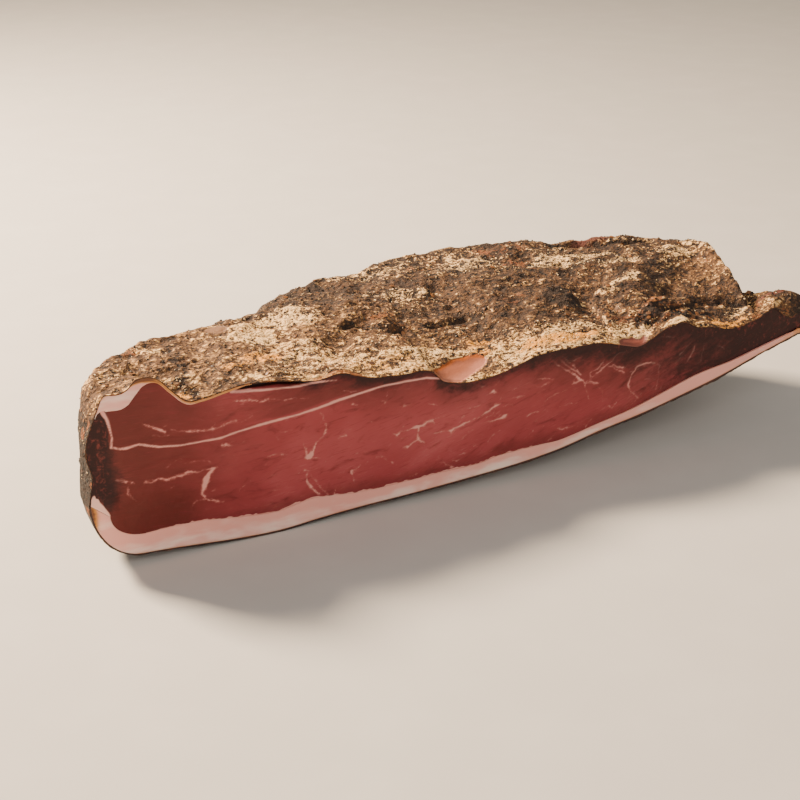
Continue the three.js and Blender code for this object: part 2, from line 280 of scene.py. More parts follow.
BELLY_START = 26.0
FAT_THICKNESS = Curve((
    (22, 11), (48, 13), (67, 12), (87, 11.2), (104, 12.6), (129, 8.9), (172, 8.3), (195, 7.5),
    (206, 8.9), (229, 7.8), (241, 6.3), (277, 6.2), (301, 8), (326, 9.5), (351, 6.5), (377, 4.5),
    (388, 4),
))
SIDE_FAT_SHARE = 0.85
SIDE_FAT_LIMIT = 0.45
# How much lower the back fat's inner rim is than its outer one at the blunt end's cut
RIM_DROP = 7.0
CAP_THICKNESS = Curve((
    (0, 9.5), (15, 9.1), (22, 8.2), (25, 6), (31, 3.8), (38, 3.6), (50, 3.2), (76, 3),
))
CAP_END = 76.0
CAP_BACK = Curve((
    (-4, 12), (2, 22), (10, 32), (20, 40), (36, 48), (57, 55), (80, 60),
))

# Line on the plan, depth and width of each
FISSURES = (
    (((142, 45), (149, 46), (157, 40), (164, 36.5), (171, 39)), 2.4, 3.2),
    (((187, 42.5), (198, 43), (210, 46.5), (218, 41.5)), 2.0, 3.0),
    (((336, 24), (350, 19), (364, 11)), 3.0, 4.0),
    (((299, 112), (318, 104), (338, 94), (352, 90)), 4.5, 5.0),
    (((297, 8), (312, 15), (326, 19), (338, 17)), 2.6, 3.5),
)
FLAP_EDGE = ((277, 22), (279, 36), (282, 44), (290, 50), (304, 50), (326, 61), (344, 72))
FLAP_HEIGHT = 3.4
FLAP_WIDTH = 3.0
FLAP_REACH = 26.0
MOUND = Oval(267, 45, 13, 13, 3.0)
CRAGS = Oval(306, 14, 34, 15, 3.2)
CRAG_SIZE = 9.0
FACET = Oval(188, 8, 20, 10)
FACET_DEPTH = 1.6
LUMPS = ((34.0, 3.0), (15.0, 2.0), (8.0, 1.2))

# Thickness of the dried crust and of the smoked rind
CRUST_THICKNESS = 2.1
RIND_THICKNESS = Curve(((22, 1.1), (150, 1.2), (250, 1.5), (300, 1.9), (340, 2.1), (388, 1.7)))


def crust_relief(p: Array, on_top: Array, hidden: bool) -> Array:
    """How far the crust stands out from its smooth form: lumps, crags, mound, fissures and flap.

    Height = three sizes of lumps + crags, levelled to -FACET_DEPTH on the trimmed spot. Where the
    crust faces up: + mound - each fissure's depth, which falls to 0 at its width, + a step of
    FLAP_HEIGHT at the flap's edge, which runs out over FLAP_REACH.

    Args:
        p: points of the smooth crust.
        on_top: 1 where the crust faces up, 0 where it is a wall.
        hidden: True for coarse faces under the crust, which behind the cut leave out the small
            lumps and run lower under the fissures and the flap's step, so that they never come
            through.

    Returns:
        Height in millimetres for each point.
    """
    calm = smooth(p[..., 1], 2, 10) if hidden else 0.0
    broad, middle, small = (high * lumps(p, size) for size, high in LUMPS)
    height = broad + middle + (small + CRAGS(p) * lumps(p, CRAG_SIZE)) * (1 - calm) - 0.9 * calm
    bare = FACET(p)
    height = height * (1 - bare) - FACET_DEPTH * bare
    plan = MOUND(p)
    for line, depth, width in FISSURES:
        off = np.abs(off_line(p[..., 0], p[..., 1], line)) - 7 * calm
        plan = plan - depth * fade(off, 0, width)
    off = off_line(p[..., 0], p[..., 1], FLAP_EDGE)
    raised = smooth(off - 3 * calm, 0, FLAP_WIDTH)
    raised = raised * fade(off + 3 * calm, FLAP_WIDTH, FLAP_REACH)
    return height + (plan + FLAP_HEIGHT * raised) * on_top


# Where the crust is not as rough as elsewhere: trimmed, rubbed or healed over
SMOOTH_SPOTS = (
    Oval(188, 8, 19, 10, 1.0, 0.7),
    Oval(79, 56, 8, 5.5, 1.0, 0.6),
    Oval(358, 38, 9, 16, 0.7),
    Oval(283, 3, 13, 6, 0.8),
    Oval(60, 66, 16, 8, 0.4),
)
# Where it breaks up into layered crags
CRAG_BEDS = (
    Oval(312, 15, 34, 13),
    *(Band(line, 8, 0.35) for line, _, _ in FISSURES[:2]),
)


def fine_relief(p: Array) -> Array:
    """The crust's bark, grit, pits and layered crags, finer than the solids show.

    Bark is ridged noise drawn out along the ham, grit is two sizes of lumps, pits are the tops of
    a noise pushed in, and crags are ridges drawn out far along the ham.

    Args:
        p: points of the smooth crust.

    Returns:
        Height in millimetres for each point.
    """
    warped = p + 2.5 * np.stack([lumps(p + 90, 11), lumps(p + 170, 11), lumps(p + 250, 11)], -1)
    bark = 0.36 * ridges(warped, (13, 6, 6)) + 0.30 * ridges(warped + 40, (7, 3.6, 3.6))
    grit = 0.42 * lumps(p, (3.4, 2.6, 2.6)) + 0.36 * lumps(p + 7, 1.7)
    pits = -0.9 * smooth(lumps(warped, (6, 4, 4)), 0.35, 0.75)
    beds = most(p, CRAG_BEDS)
    crags = beds * (1.7 * ridges(warped, (19, 3.6, 3.2)) + 0.9 * lumps(p, (7, 2.3, 2.3)) - 0.5)
    return (bark + grit + pits + crags - 0.3) * (1 - most(p, SMOOTH_SPOTS))


def rind_height(x: Array, y: Array) -> Array:
    """Height of the rind: its edge at the cut, running into the belly behind it."""
    inside = smooth(y, 0.0, BELLY_START)
    return np.maximum(0.0, LOW_EDGE(x) * (1 - inside) + BELLY(x) * inside)


@dataclass
class Sections:
    """Upright sections from the cut face to the plan outline, as columns of one value each.

    Attributes:
        crest: height of the crest.
        side: height of the widest line.
        rim: height of the widest line of the back fat's inner face.
        shoulder: reach of the shoulder.
        hull: reach of the rind's curve.
        lean: how far the wall leans in.
        front: x of the section's foot on the cut face.
        reach: distance from there to the outline.
        ux: x of the section's direction.
        uy: y of the section's direction.
        fat: thickness of the back fat.
        side_fat: its thickness at the widest line.
        crest_start: distance at which the crest turns into the shoulder.
        edge: height of the crust's edge at the cut.
    """

    crest: Array
    side: Array
    rim: Array
    shoulder: Array
    hull: Array
    lean: Array
    front: Array
    reach: Array
    ux: Array
    uy: Array
    fat: Array
    side_fat: Array
    crest_start: Array
    edge: Array

    def at(self, distance: Array, height: Array) -> Array:
        """Points of the sections.

        Args:
            distance: how far they are from the cut face, along the section.
            height: how high they are.

        Returns:
            Points of the shape (sections, rows, 3).
        """
        x = self.front + self.ux * distance
        y = self.uy * distance
        return np.stack(np.broadcast_arrays(x, y, height), -1)


@dataclass(frozen=True)
class HamForm:
    """The ham's smooth form, as sections that fan out from the cut face.

    Attributes:
        shift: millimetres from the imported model's origin to the form's own.
    """

    shift: Triple

    def to_frame(self, p: Array) -> Array:
        """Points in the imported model's frame, in metres."""
        return (p + np.array(self.shift)) * MM

    def sections(self, shares: Array) -> Sections:
        """Sections at shares of the outline's length.

        Args:
            shares: places along the outline, from 0 at the blunt end's cut to 1 at the tip.

        Returns:
            Sections whose fields have the shape (number of shares, 1).
        """
        steps = np.hypot(*np.diff(OUTLINE[:, :2], axis=0).T)
        along = np.concatenate([[0.0], np.cumsum(steps)])
        along = along / along[-1]
        curves = [Curve(tuple(zip(along, column)))(shares)[:, None] for column in OUTLINE.T]
        x, y, crest, side, shoulder, hull, lean = curves
        first, last = OUTLINE[0, 0], OUTLINE[-1, 0]
        front = FRONT_LEFT + (FRONT_RIGHT - FRONT_LEFT) * (x - first) / (last - first)
        reach = np.hypot(x - front, y)
        fat = FAT_THICKNESS(front)
        return Sections(
            crest=crest, side=side, shoulder=shoulder, lean=lean, front=front, reach=reach,
            rim=side - RIM_DROP * fade(front, FRONT_LEFT, FRONT_LEFT + 4),
            hull=np.minimum(hull, reach * HULL_LIMIT), ux=(x - front) / reach, uy=y / reach,
            fat=fat, side_fat=np.minimum(fat * SIDE_FAT_SHARE, hull * SIDE_FAT_LIMIT),
            crest_start=reach - shoulder - lean, edge=TOP_EDGE(front),
        )

    def crust(self, s: Sections, rows: Array, inset: Array | float, rough: bool) -> Array:
        """The crust from the cut face over the crest to the widest line, and a skirt below it.

        Top: height = edge + (crest - edge)(1 - (1 - share)^1.6). Shoulder: a quarter turn whose
        sine and cosine are raised to 0.86. Every point then moves out along its tilt by the
        relief less the inset.

        Args:
            s: the sections.
            rows: 0 to 1 over the top, 1 to 2 round the shoulder, and past 2 in millimetres down
                the skirt.
            inset: how far under the crust's outer face the surface runs.
            rough: True for the outer face with its fine relief, False for hidden faces.

        Returns:
            Points of the shape (sections, rows, 3).
        """
        share = np.clip(rows, 0, 1)[None, :]
        turn = np.clip(rows - 1, 0, 1)[None, :]
        hang = np.maximum(rows - 2, 0)[None, :]
        dome = s.edge + (s.crest - s.edge) * (1 - (1 - share) ** DOME_POWER)
        top = s.at(s.crest_start * share, dome)
        base = s.side + LAYER_GAP
        up = np.cos(turn * math.pi / 2).clip(0) ** SHOULDER_POWER
        inwards = s.shoulder * (1 - np.sin(turn * math.pi / 2) ** SHOULDER_POWER) + s.lean * up
        wall = s.at(s.reach - inwards, base + (s.crest - base) * up)
        p = np.where((turn > 0)[..., None], wall, top)
        tilt = turn * math.pi / 2
        # The relief is weaker at the cut and at the widest line, so that the edges stay put
        strength = np.minimum(1, 0.35 + 2.6 * share) * (1 - 0.8 * turn ** 3)
        out = strength * crust_relief(p, np.cos(tilt) ** 2, not rough)
        if rough:
            fine = np.minimum(1, 0.5 + 2 * share) * (1 - 0.6 * turn ** 6) * fine_relief(p)
            # The knife has worn the crust's edge at the cut down by half a millimetre
            fine = fine - 0.5 * fade(p[..., 1], 0.0, 1.6)
            # The pits stay shallower than the crust is thick
            out = out + np.maximum(fine, -0.45 - 0.95 * smooth(p[..., 1], 0, 9))
        out = out - inset
        p[..., 0] += out * s.ux * np.sin(tilt)
        p[..., 1] += out * s.uy * np.sin(tilt)
        # The skirt's lower edge is ragged: it hangs down by up to twice its middle length, and
        # only by a fifth of that at the tip, where the rind below it is narrow
        ragged = 1.0 + 0.6 * lumps(p, 9) + 0.4 * lumps(p, 3.2)
        ragged = ragged * (1 - 0.8 * smooth(p[..., 0], 380, 396))
        p[..., 2] += out * np.cos(tilt) - hang * np.where(hang > 0, ragged, 0)
        return p

    def hull(self, s: Sections, rows: Array, rim: Array, inset: Array, side_inset: Array) -> Array:
        """The curve from the widest line down to the belly and back to the cut face.

        Curve: distance = foot + (hull - side inset) sin, height = rim - (rim - low) cos, over a
        quarter turn. Belly: straight back to the cut face along the rind.

        Args:
            s: the sections.
            rows: 0 to 1 round the curve from the widest line, 1 to 2 along the belly.
            rim: height of the widest line.
            inset: height over the rind.
            side_inset: distance inside the rind at the widest line.

        Returns:
            Points of the shape (sections, rows, 3).
        """
        turn = (1 - np.clip(rows, 0, 1)[None, :]) * math.pi / 2
        back = np.clip(rows - 1, 0, 1)[None, :]
        foot = s.reach - s.hull
        curve = foot + (s.hull - side_inset) * np.sin(turn)
        distance = np.where(back > 0, foot * (1 - back), curve)
        low = rind_height(s.front + s.ux * distance, s.uy * distance) + inset
        height = np.where(back > 0, low, rim - (rim - low) * np.cos(turn))
        return s.at(distance, height)

    def crust_depth(self, s: Sections, rows: Array) -> Array:
        """Thickness of the crust at each point of a lattice: thin at the cut, thicker inside."""
        p = self.crust(s, rows, 0.0, False)
        return 0.95 + (CRUST_THICKNESS - 0.95) * smooth(p[..., 1], 0, 9) + 0.3 * lumps(p, 7)

    def cap_depth(self, s: Sections, rows: Array) -> Array:
        """Thickness of the cap fat under the crust: full at the cut, ending in a thin rim.

        Args:
            s: the sections.
            rows: rows of the crust's lattice.

        Returns:
            Millimetres for each point of the lattice, 0 where there is no cap.
        """
        p = self.crust(s, rows, 0.0, False)
        x, y = p[..., 0], p[..., 1]
        turn = np.clip(rows - 1, 0, 1)[None, :]
        inside = fade(x, CAP_END - 8, CAP_END) * fade(y - CAP_BACK(x), -8.0, 0.0)
        return (CAP_THICKNESS(x) - CRUST_THICKNESS) * inside * fade(turn, 0.05, 0.45)


# Meshes


def rows_over(*legs: tuple[float, float, int]) -> Array:
    """Rows in equal steps over one leg after the other.

    Args:
        legs: start, end and number of steps of each leg.

    Returns:
        The rows, from the first leg's start to the last leg's end.
    """
    parts = [np.linspace(start, end, steps, endpoint=False) for start, end, steps in legs]
    return np.append(np.concatenate(parts), legs[-1][1])


def sides(points: Array) -> list[Array]:
    """The four edges of a lattice, each a line of points from corner to corner, in a loop."""
    return [points[:, 0], points[-1, :], points[::-1, -1], points[0, ::-1]]


def loop(points: Array) -> Array:
    """The whole edge of a lattice as one closed line of points."""
    parts = [side[:-1] for side in sides(points)]
    return np.concatenate(parts + [parts[0][:1]])


@dataclass
class Shell:
    """Patches of one closed surface, joined wherever their edges have the same points."""

    points: list[Array] = field(default_factory=list)
    faces: list[Array] = field(default_factory=list)
    depths: list[Array] = field(default_factory=list)

    def add(self, points: Array, faces: Array, depth: Array | float) -> None:
        """Adds a patch.

        Args:
            points: its points, of the shape (count, 3).
            faces: its triangles, as rows of three point numbers.
            depth: how far under the outer face each point is, kept as an attribute.
        """
        start = sum(len(part) for part in self.points)
        self.points.append(points)
        self.faces.append(faces + start)
        self.depths.append(np.broadcast_to(depth, len(points)).astype(float))

    def grid(self, points: Array, depth: Array | float = 0.0) -> None:
        """Adds a lattice of points, each cell split into two triangles.

        Args:
            points: its points, of the shape (rows, columns, 3).
            depth: how far under the outer face they are.
        """
        rows, columns = points.shape[:2]
        n = np.arange(rows * columns).reshape(rows, columns)
        a, b, c, d = n[:-1, :-1], n[1:, :-1], n[1:, 1:], n[:-1, 1:]
        halves = [np.stack([a, b, c], -1).reshape(-1, 3), np.stack([a, c, d], -1).reshape(-1, 3)]
        level = np.broadcast_to(depth, (rows, columns)).reshape(-1)
        self.add(points.reshape(-1, 3), np.concatenate(halves), level)

    def strip(self, start: Array, end: Array, steps: int, depth: float = 0.0) -> None:
        """Adds a strip between two lines of points: start + (end - start) t, in equal steps."""
        t = np.linspace(0, 1, steps + 1)[:, None, None]
        self.grid(start + (end - start) * t, np.repeat(depth * t[:, 0], len(start), axis=1))

    def seam(self, fine: Array, coarse: Array, at_fine: Array, at_coarse: Array,
             depth: float = 0.0) -> None:
        """Joins a finely divided line to a coarse one with a row of triangles.

        Both lines are walked at once: the line whose next step is nearer goes first, and each
        step makes one triangle with the point that the other line has reached.

        Args:
            fine: points of the fine line.
            coarse: points of the coarse line.
            at_fine: rising measure along the fine line.
            at_coarse: the same measure along the coarse line.
            depth: depth attribute of the points.
        """
        step_fine = (at_fine[:-1] + at_fine[1:]) / 2
        step_coarse = (at_coarse[:-1] + at_coarse[1:]) / 2
        order = np.argsort(np.concatenate([step_fine, step_coarse]), kind="stable")
        is_fine = order < len(step_fine)
        f = np.cumsum(is_fine) - is_fine
        c = np.cumsum(~is_fine) - ~is_fine
        c = c + len(fine)
        by_fine = np.stack([f, f + 1, c], -1)
        by_coarse = np.stack([f, c + 1, c], -1)
        faces = np.where(is_fine[:, None], by_fine, by_coarse)
        self.add(np.concatenate([fine, coarse]), faces, depth)

    def skin(self, outer: Array, inner: Array, step: int) -> None:
        """Adds a thin skin: a fine outer lattice, its edge, and a coarser lattice inside.

        Args:
            outer: the outer face.
            inner: the inner face, of the same shape; its depth is 1.
            step: how many times coarser the inner face is made.
        """
        half = slice(step // 2, None, step)
        coarse = inner[half, half]
        self.grid(outer)
        self.strip(loop(outer), loop(inner), 2, 1.0)
        down, across = (np.arange(count) / (count - 1) for count in inner.shape[:2])
        for row in (0, -1):
            self.seam(inner[:, row], coarse[:, row], down, down[half], 1.0)
            self.seam(inner[row], coarse[row], across, across[half], 1.0)
        self.grid(coarse, 1.0)

    def close(self, name: str, form: HamForm) -> tuple[Piece, Array, Array]:
        """Welds the patches and makes the piece.

        Args:
            name: the piece's name.
            form: the ham's form, which moves the points into the frame.

        Returns:
            The object, its points in millimetres of the form, and their depths.
        """
        points = np.concatenate(self.points)
        faces = np.concatenate(self.faces)
        _, first, same = np.unique(
            np.round(points, 4), axis=0, return_index=True, return_inverse=True)
        faces = same.reshape(-1)[faces]
        a, b, c = faces.T
        faces = faces[(a != b) & (b != c) & (c != a)]
        points = points[first]
        piece = mesh_piece(name, form.to_frame(points), faces)
        turn_out(piece)
        return piece, points, np.concatenate(self.depths)[first]


def mesh_piece(name: str, points: Array, faces: Array) -> Piece:
    """A smooth-shaded object from points in metres and triangles.

    Args:
        name: name of the object and its mesh.
        points: points of the shape (count, 3).
        faces: triangles of the shape (count, 3).

    Returns:
        The object, linked to the scene.
    """
    mesh = bpy.data.meshes.new(name)
    mesh.vertices.add(len(points))
    mesh.vertices.foreach_set("co", points.astype(np.float32).reshape(-1))
    mesh.loops.add(faces.size)
    mesh.loops.foreach_set("vertex_index", faces.astype(np.int32).reshape(-1))
    mesh.polygons.add(len(faces))
    mesh.polygons.foreach_set("loop_start", np.arange(0, faces.size, 3, dtype=np.int32))
    mesh.update(calc_edges=True)
    mesh.validate()
    mesh.shade_smooth()
    piece = bpy.data.objects.new(name, mesh)
    bpy.context.scene.collection.objects.link(piece)
    return piece


def turn_out(piece: Piece) -> None:
    """Turns all faces of a closed piece outwards.

    Args:
        piece: the object.
    """
    work = bmesh.new()
    work.from_mesh(piece.data)
    bmesh.ops.recalc_face_normals(work, faces=work.faces)
    if work.calc_volume(signed=True) < 0:
        bmesh.ops.reverse_faces(work, faces=work.faces)
    work.to_mesh(piece.data)
    work.free()


def dress(piece: Piece, material: Material, slot: Slot, node: str, sharp: float,
          **marks: Array) -> Piece:
    """Gives a piece its marks, creases, material and body, and hides its node's solid.

    Args:
        piece: the object.
        material: its material.
        slot: not used.
        node: the node whose solid it stands for.
        sharp: degrees from which an edge stays sharp in the shading.
        marks: a number or a vector for each vertex, for the material to read by name.

    Returns:
        The object.
    """
    for name, value in marks.items():
        kind, key = ("FLOAT", "value") if value.ndim == 1 else ("FLOAT_VECTOR", "vector")
        data = piece.data.attributes.new(name, kind, "POINT").data
        data.foreach_set(key, value.astype(np.float32).reshape(-1))
    piece.data.set_sharp_from_angle(angle=math.radians(sharp))
    piece.data.materials.append(material)
    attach(piece, BODY)
    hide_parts(node)
    log.info("%s: %d triangles", piece.name, len(piece.data.polygons))
    return piece


# Materials: their colours are sRGB hex values, named after what is seen in them


def colour(code: str) -> tuple[float, ...]:
    """An sRGB hex value as the linear colour that shaders take.

    Args:
        code: the hex value, such as #ffffff.

    Returns:
        Red, green, blue and 1.
    """
    parts = [int(code[i:i + 2], 16) / 255 for i in (1, 3, 5)]
    linear = [c / 12.92 if c <= 0.04045 else ((c + 0.055) / 1.055) ** 2.4 for c in parts]
    return (*linear, 1.0)


def plug(tree: Tree, node: Node, inputs: dict) -> None:
    """Sets inputs of a node.

    Args:
        tree: its node tree.
        node: the node.
        inputs: what goes into each socket, by name or number: a socket to link, or a value.
    """
    for key, value in inputs.items():
        if isinstance(value, Socket):
            tree.links.new(value, node.inputs[key])
        else:
            node.inputs[key].default_value = value


def add_node(tree: Tree, kind: str, inputs: dict | None = None, **settings: object) -> Node:
    """Adds a node with its settings and links.

    Args:
        tree: the node tree.
        kind: the node's type.
        inputs: what goes into its sockets, as in plug.
        settings: the node's own properties.

    Returns:
        The node.
    """
    node = tree.nodes.new(kind)
    for name, value in settings.items():
        setattr(node, name, value)
    plug(tree, node, inputs or {})
    return node


def mottle(tree: Tree, size: float, stretch: Triple = (1, 1, 1),
           detail: float = 2.0, swirl: float = 0.0, place: Socket | None = None) -> Socket:
    """A natural mottling fixed to the ham.

    Args:
        tree: the node tree.
        size: size of a patch in millimetres.
        stretch: how many times longer a patch is along x, y and z.
        detail: octaves of finer mottling.
        swirl: how much the pattern is warped.
        place: coordinates in metres to read it at; the ham's own if there are none.

    Returns:
        A value around 0.5.
    """
    if place is None:
        place = add_node(tree, "ShaderNodeTexCoord").outputs["Object"]
    scale = tuple(1 / (size * MM * s) for s in stretch)
    fitted = add_node(tree, "ShaderNodeMapping", {"Vector": place, "Scale": scale})
    noise = add_node(tree, "ShaderNodeTexNoise", {
        "Vector": fitted.outputs[0], "Scale": 1.0, "Detail": detail, "Roughness": 0.6,
        "Distortion": swirl})
    return noise.outputs["Fac"]


def painted(tree: Tree, ground: str, source: dict[str, Socket], *coats: Coat) -> Socket:
    """Coats of colour over a ground, each where its values are high.

    A coat's share is the sum of its values times their weights, turned into a soft step from 0 at
    its low end to 1 at its high end.

    Args:
        tree: the node tree.
        ground: the colour below.
        source: the values that the coats can read, by name.
        coats: low end, high end, weights by name and colour of each, from the lowest coat up.

    Returns:
        The colour seen.
    """
    seen: Socket | tuple[float, ...] = colour(ground)
    for low, high, weights, code in coats:
        total: Socket | float = 0.0
        for name, weight in weights.items():
            total = add_node(tree, "ShaderNodeMath", {0: source[name], 1: weight, 2: total},
                             operation="MULTIPLY_ADD").outputs[0]
        share = add_node(tree, "ShaderNodeMapRange", {0: total, 1: low, 2: high},
                         interpolation_type="SMOOTHSTEP").outputs[0]
        seen = add_node(tree, "ShaderNodeMix", {0: share, 6: seen, 7: colour(code)},
                        data_type="RGBA").outputs[2]
    return seen


def new_material(name: str, *marks: str) -> tuple[Material, Tree, Node, dict[str, Socket]]:
    """An empty material.

    Args:
        name: its name.
        marks: names of the pieces' marks that it reads.

    Returns:
        The material, its tree, its shader, and the marks' values by name.
    """
    material = bpy.data.materials.new(name)
    material.use_nodes = True
    tree = material.node_tree
    source = {mark: add_node(tree, "ShaderNodeAttribute", attribute_name=mark).outputs["Fac"]
              for mark in marks}
    return material, tree, tree.nodes["Principled BSDF"], source


# What the materials of the cut face and of the crust read at each vertex, painted shade among them
FACE_MARKS = ("dry", "brown", "rose", "upper", "corner", "vein", "seam", "horn", "tan")
CRUST_MARKS = ("high", "low", "mould", "cream", "rust", "dark", "red", "bare", "facet", "pale",
               "rim", "meat", "amber", "gloss")


@dataclass(frozen=True)
class CutLean:
    """Dry-cured lean pork, sliced with a long knife and left to dry a little.

    The eye sees deep rose-red meat with pale seams and marbling, browner near the fat, almost
    black where the surface has dried out, and a soft gloss. Painted shade darkens it below the
    crust's edge, towards both ends and in the slot under the crust.
    """

    red: str = "#953b3e"
    rose: str = "#a94e50"
    deep: str = "#782a2d"
    brown: str = "#5e211d"
    umber: str = "#561f1a"
    dry: str = "#27070a"
    flesh: str = "#74302b"
    # Painted shadow in the slot under the crust's edge
    tan: str = "#220d0b"
    streak: str = "#ab5a57"
    halo: str = "#b0645d"
    marbling: str = "#d3958a"
    seam: str = "#d99b8f"
    horn: str = "#ebb9a9"
    roughness: float = 0.4

    def material(self) -> Material:
        """Builds the material.

        Returns:
            The material.
        """
        material, tree, shader, source = new_material(
            "dry-cured lean pork, knife-cut", *FACE_MARKS)
        flow = add_node(tree, "ShaderNodeAttribute", attribute_name="flow").outputs["Vector"]
        source |= {
            "broad": mottle(tree, 30, (1.8, 1, 1), 2, 0.4, flow),
            "cells": mottle(tree, 6, (2.4, 1, 0.8), 3, 0.8, flow),
            # Muscle fibres are under 0.1 mm across; drawn as 0.8 mm streaks so that they show
            "fibres": mottle(tree, 0.8, (14, 1, 1), 2, 0.3, flow),
            "flecks": mottle(tree, 1.0, (4.5, 1, 1), 2, 0.9, flow),
            "upright": mottle(tree, 3.4, (1, 1, 1.8), 3, 1.4),
            "crumb": mottle(tree, 1.7, (1.4, 1, 1), 3, 0.5),
        }
        seen = painted(
            tree, self.red, source,
            (0.42, 0.72, {"broad": 0.75, "rose": 0.25}, self.rose),
            (0.52, 0.80, {"cells": 1.0}, self.deep),
            (0.62, 0.95, {"flecks": 0.8, "broad": 0.35}, self.streak),
            # Brown meat, with painted shade below the crust's edge and towards the blunt end
            (0.20, 1.20, {"brown": 1.0, "cells": 0.3}, self.brown),
            (0.50, 1.70, {"upper": 1.0, "cells": 0.4}, self.brown),
            (0.55, 0.83, {"fibres": 1.0}, self.deep),
            (0.90, 1.60, {"upright": 1.0, "corner": 0.7}, self.umber),
            (1.15, 1.90, {"vein": 1.0, "crumb": 0.9}, self.halo),
            (1.65, 2.45, {"vein": 1.0, "crumb": 1.0, "fibres": 0.6}, self.marbling),
            # Dried meat, with painted shade below the crust's edge and towards the tip
            (0.76, 1.60, {"dry": 1.0, "cells": 0.7, "crumb": 0.6}, self.dry),
            (1.27, 1.55, {"dry": 0.7, "upright": 0.65, "crumb": 0.55}, self.flesh),
            (0.92, 1.45, {"seam": 1.0, "crumb": 0.2}, self.seam),
            (0.95, 1.35, {"horn": 1.0, "crumb": 0.2}, self.horn),
            # Painted shadow in the slot under the crust's edge
            (0.40, 0.80, {"tan": 1.0, "cells": 0.3}, self.tan),
        )
        height = add_node(tree, "ShaderNodeMath", {0: source["fibres"], 1: 0.4, 2: source["cells"]},
                          operation="MULTIPLY_ADD").outputs[0]
        bump = add_node(tree, "ShaderNodeBump", {
            "Height": height, "Strength": 0.35, "Distance": 0.4 * MM})
        plug(tree, shader, {
            "Base Color": seen, "Roughness": self.roughness, "IOR": 1.42,
            "Specular IOR Level": 0.35, "Subsurface Weight": 0.12,
            "Subsurface Radius": (1.0, 0.3, 0.2), "Subsurface Scale": 1.5 * MM,
            "Normal": bump.outputs[0]})
        return material


@dataclass(frozen=True)
class CuredFat:
    """Firm cured pork fat, knife-cut.

    The eye sees a smooth, slightly glossy pinkish white that lets light in, turning amber and
    glassy where smoke and air have reached it.
    """

    white: str = "#f6d9ca"
    pink: str = "#e9a698"
    amber: str = "#c27e36"
    brown: str = "#6b3a18"
    roughness: float = 0.38

    def material(self) -> Material:
        """Builds the material.

        Returns:
            The material.
        """
        material, tree, shader, source = new_material(
            "cured pork fat, knife-cut", "amber", "pink")
        source |= {
            "clouds": mottle(tree, 9, (2.5, 1, 0.7), 2, 0.3),
            "grain": mottle(tree, 1.2, (3, 1, 1), 3),
        }
        seen = painted(
            tree, self.white, source,
            (0.42, 0.85, {"clouds": 0.9, "grain": 0.15, "pink": 0.5}, self.pink),
            (0.25, 1.05, {"amber": 1.0, "grain": 0.25, "clouds": 0.2}, self.amber),
            (1.05, 1.45, {"amber": 1.0, "grain": 0.4, "clouds": 0.2}, self.brown),
        )
        bump = add_node(tree, "ShaderNodeBump", {
            "Height": source["grain"], "Strength": 0.25, "Distance": 0.3 * MM})
        plug(tree, shader, {
            "Base Color": seen, "Roughness": self.roughness, "IOR": 1.46,
            "Subsurface Weight": 0.3, "Subsurface Radius": (1.0, 0.55, 0.4),
            "Subsurface Scale": 3 * MM, "Normal": bump.outputs[0]})
        return material


@dataclass(frozen=True)
class SmokedRind:
    """Pig's skin, smoked and dried until it is leathery.

    The eye sees a very dark brown, finely wrinkled leather with rusty worn spots.
    """

    dark: str = "#1d120c"
    brown: str = "#4a2c19"
    rust: str = "#7a4a26"
    grey: str = "#5d4c3d"
    bloom: str = "#a37d56"
    edge: str = "#3c1d13"
    roughness: float = 0.6

    def material(self) -> Material:
        """Builds the material.

        Returns:
            The material.
        """
        material, tree, shader, source = new_material("smoked pig rind, dried", "cut", "bloom")
        source |= {
            "patches": mottle(tree, 13, (1.8, 1.5, 1), 3, 0.4),
            "pores": mottle(tree, 1.3, (1, 1, 1), 3),
            "grit": mottle(tree, 2.3, (1.6, 1.4, 1), 3, 0.5),
            "wrinkles": mottle(tree, 2.6, (3, 3, 1), 3, 0.8),
        }
        seen = painted(
            tree, self.dark, source,
            (0.40, 0.70, {"patches": 0.8, "pores": 0.25}, self.brown),
            (0.55, 0.75, {"wrinkles": 0.7, "patches": 0.35}, self.rust),
            (0.62, 0.75, {"pores": 0.6, "patches": 0.5}, self.grey),
            (0.69, 0.75, {"bloom": 0.22, "pores": 0.3, "grit": 0.6}, self.bloom),
            (0.30, 0.60, {"cut": 1.0}, self.edge),
        )
        height = add_node(tree, "ShaderNodeMath", {
            0: source["pores"], 1: 0.4, 2: source["wrinkles"]}, operation="MULTIPLY_ADD").outputs[0]
        bump = add_node(tree, "ShaderNodeBump", {
            "Height": height, "Strength": 0.6, "Distance": 0.6 * MM})
        plug(tree, shader, {
            "Base Color": seen, "Roughness": self.roughness, "Normal": bump.outputs[0]})
        return material


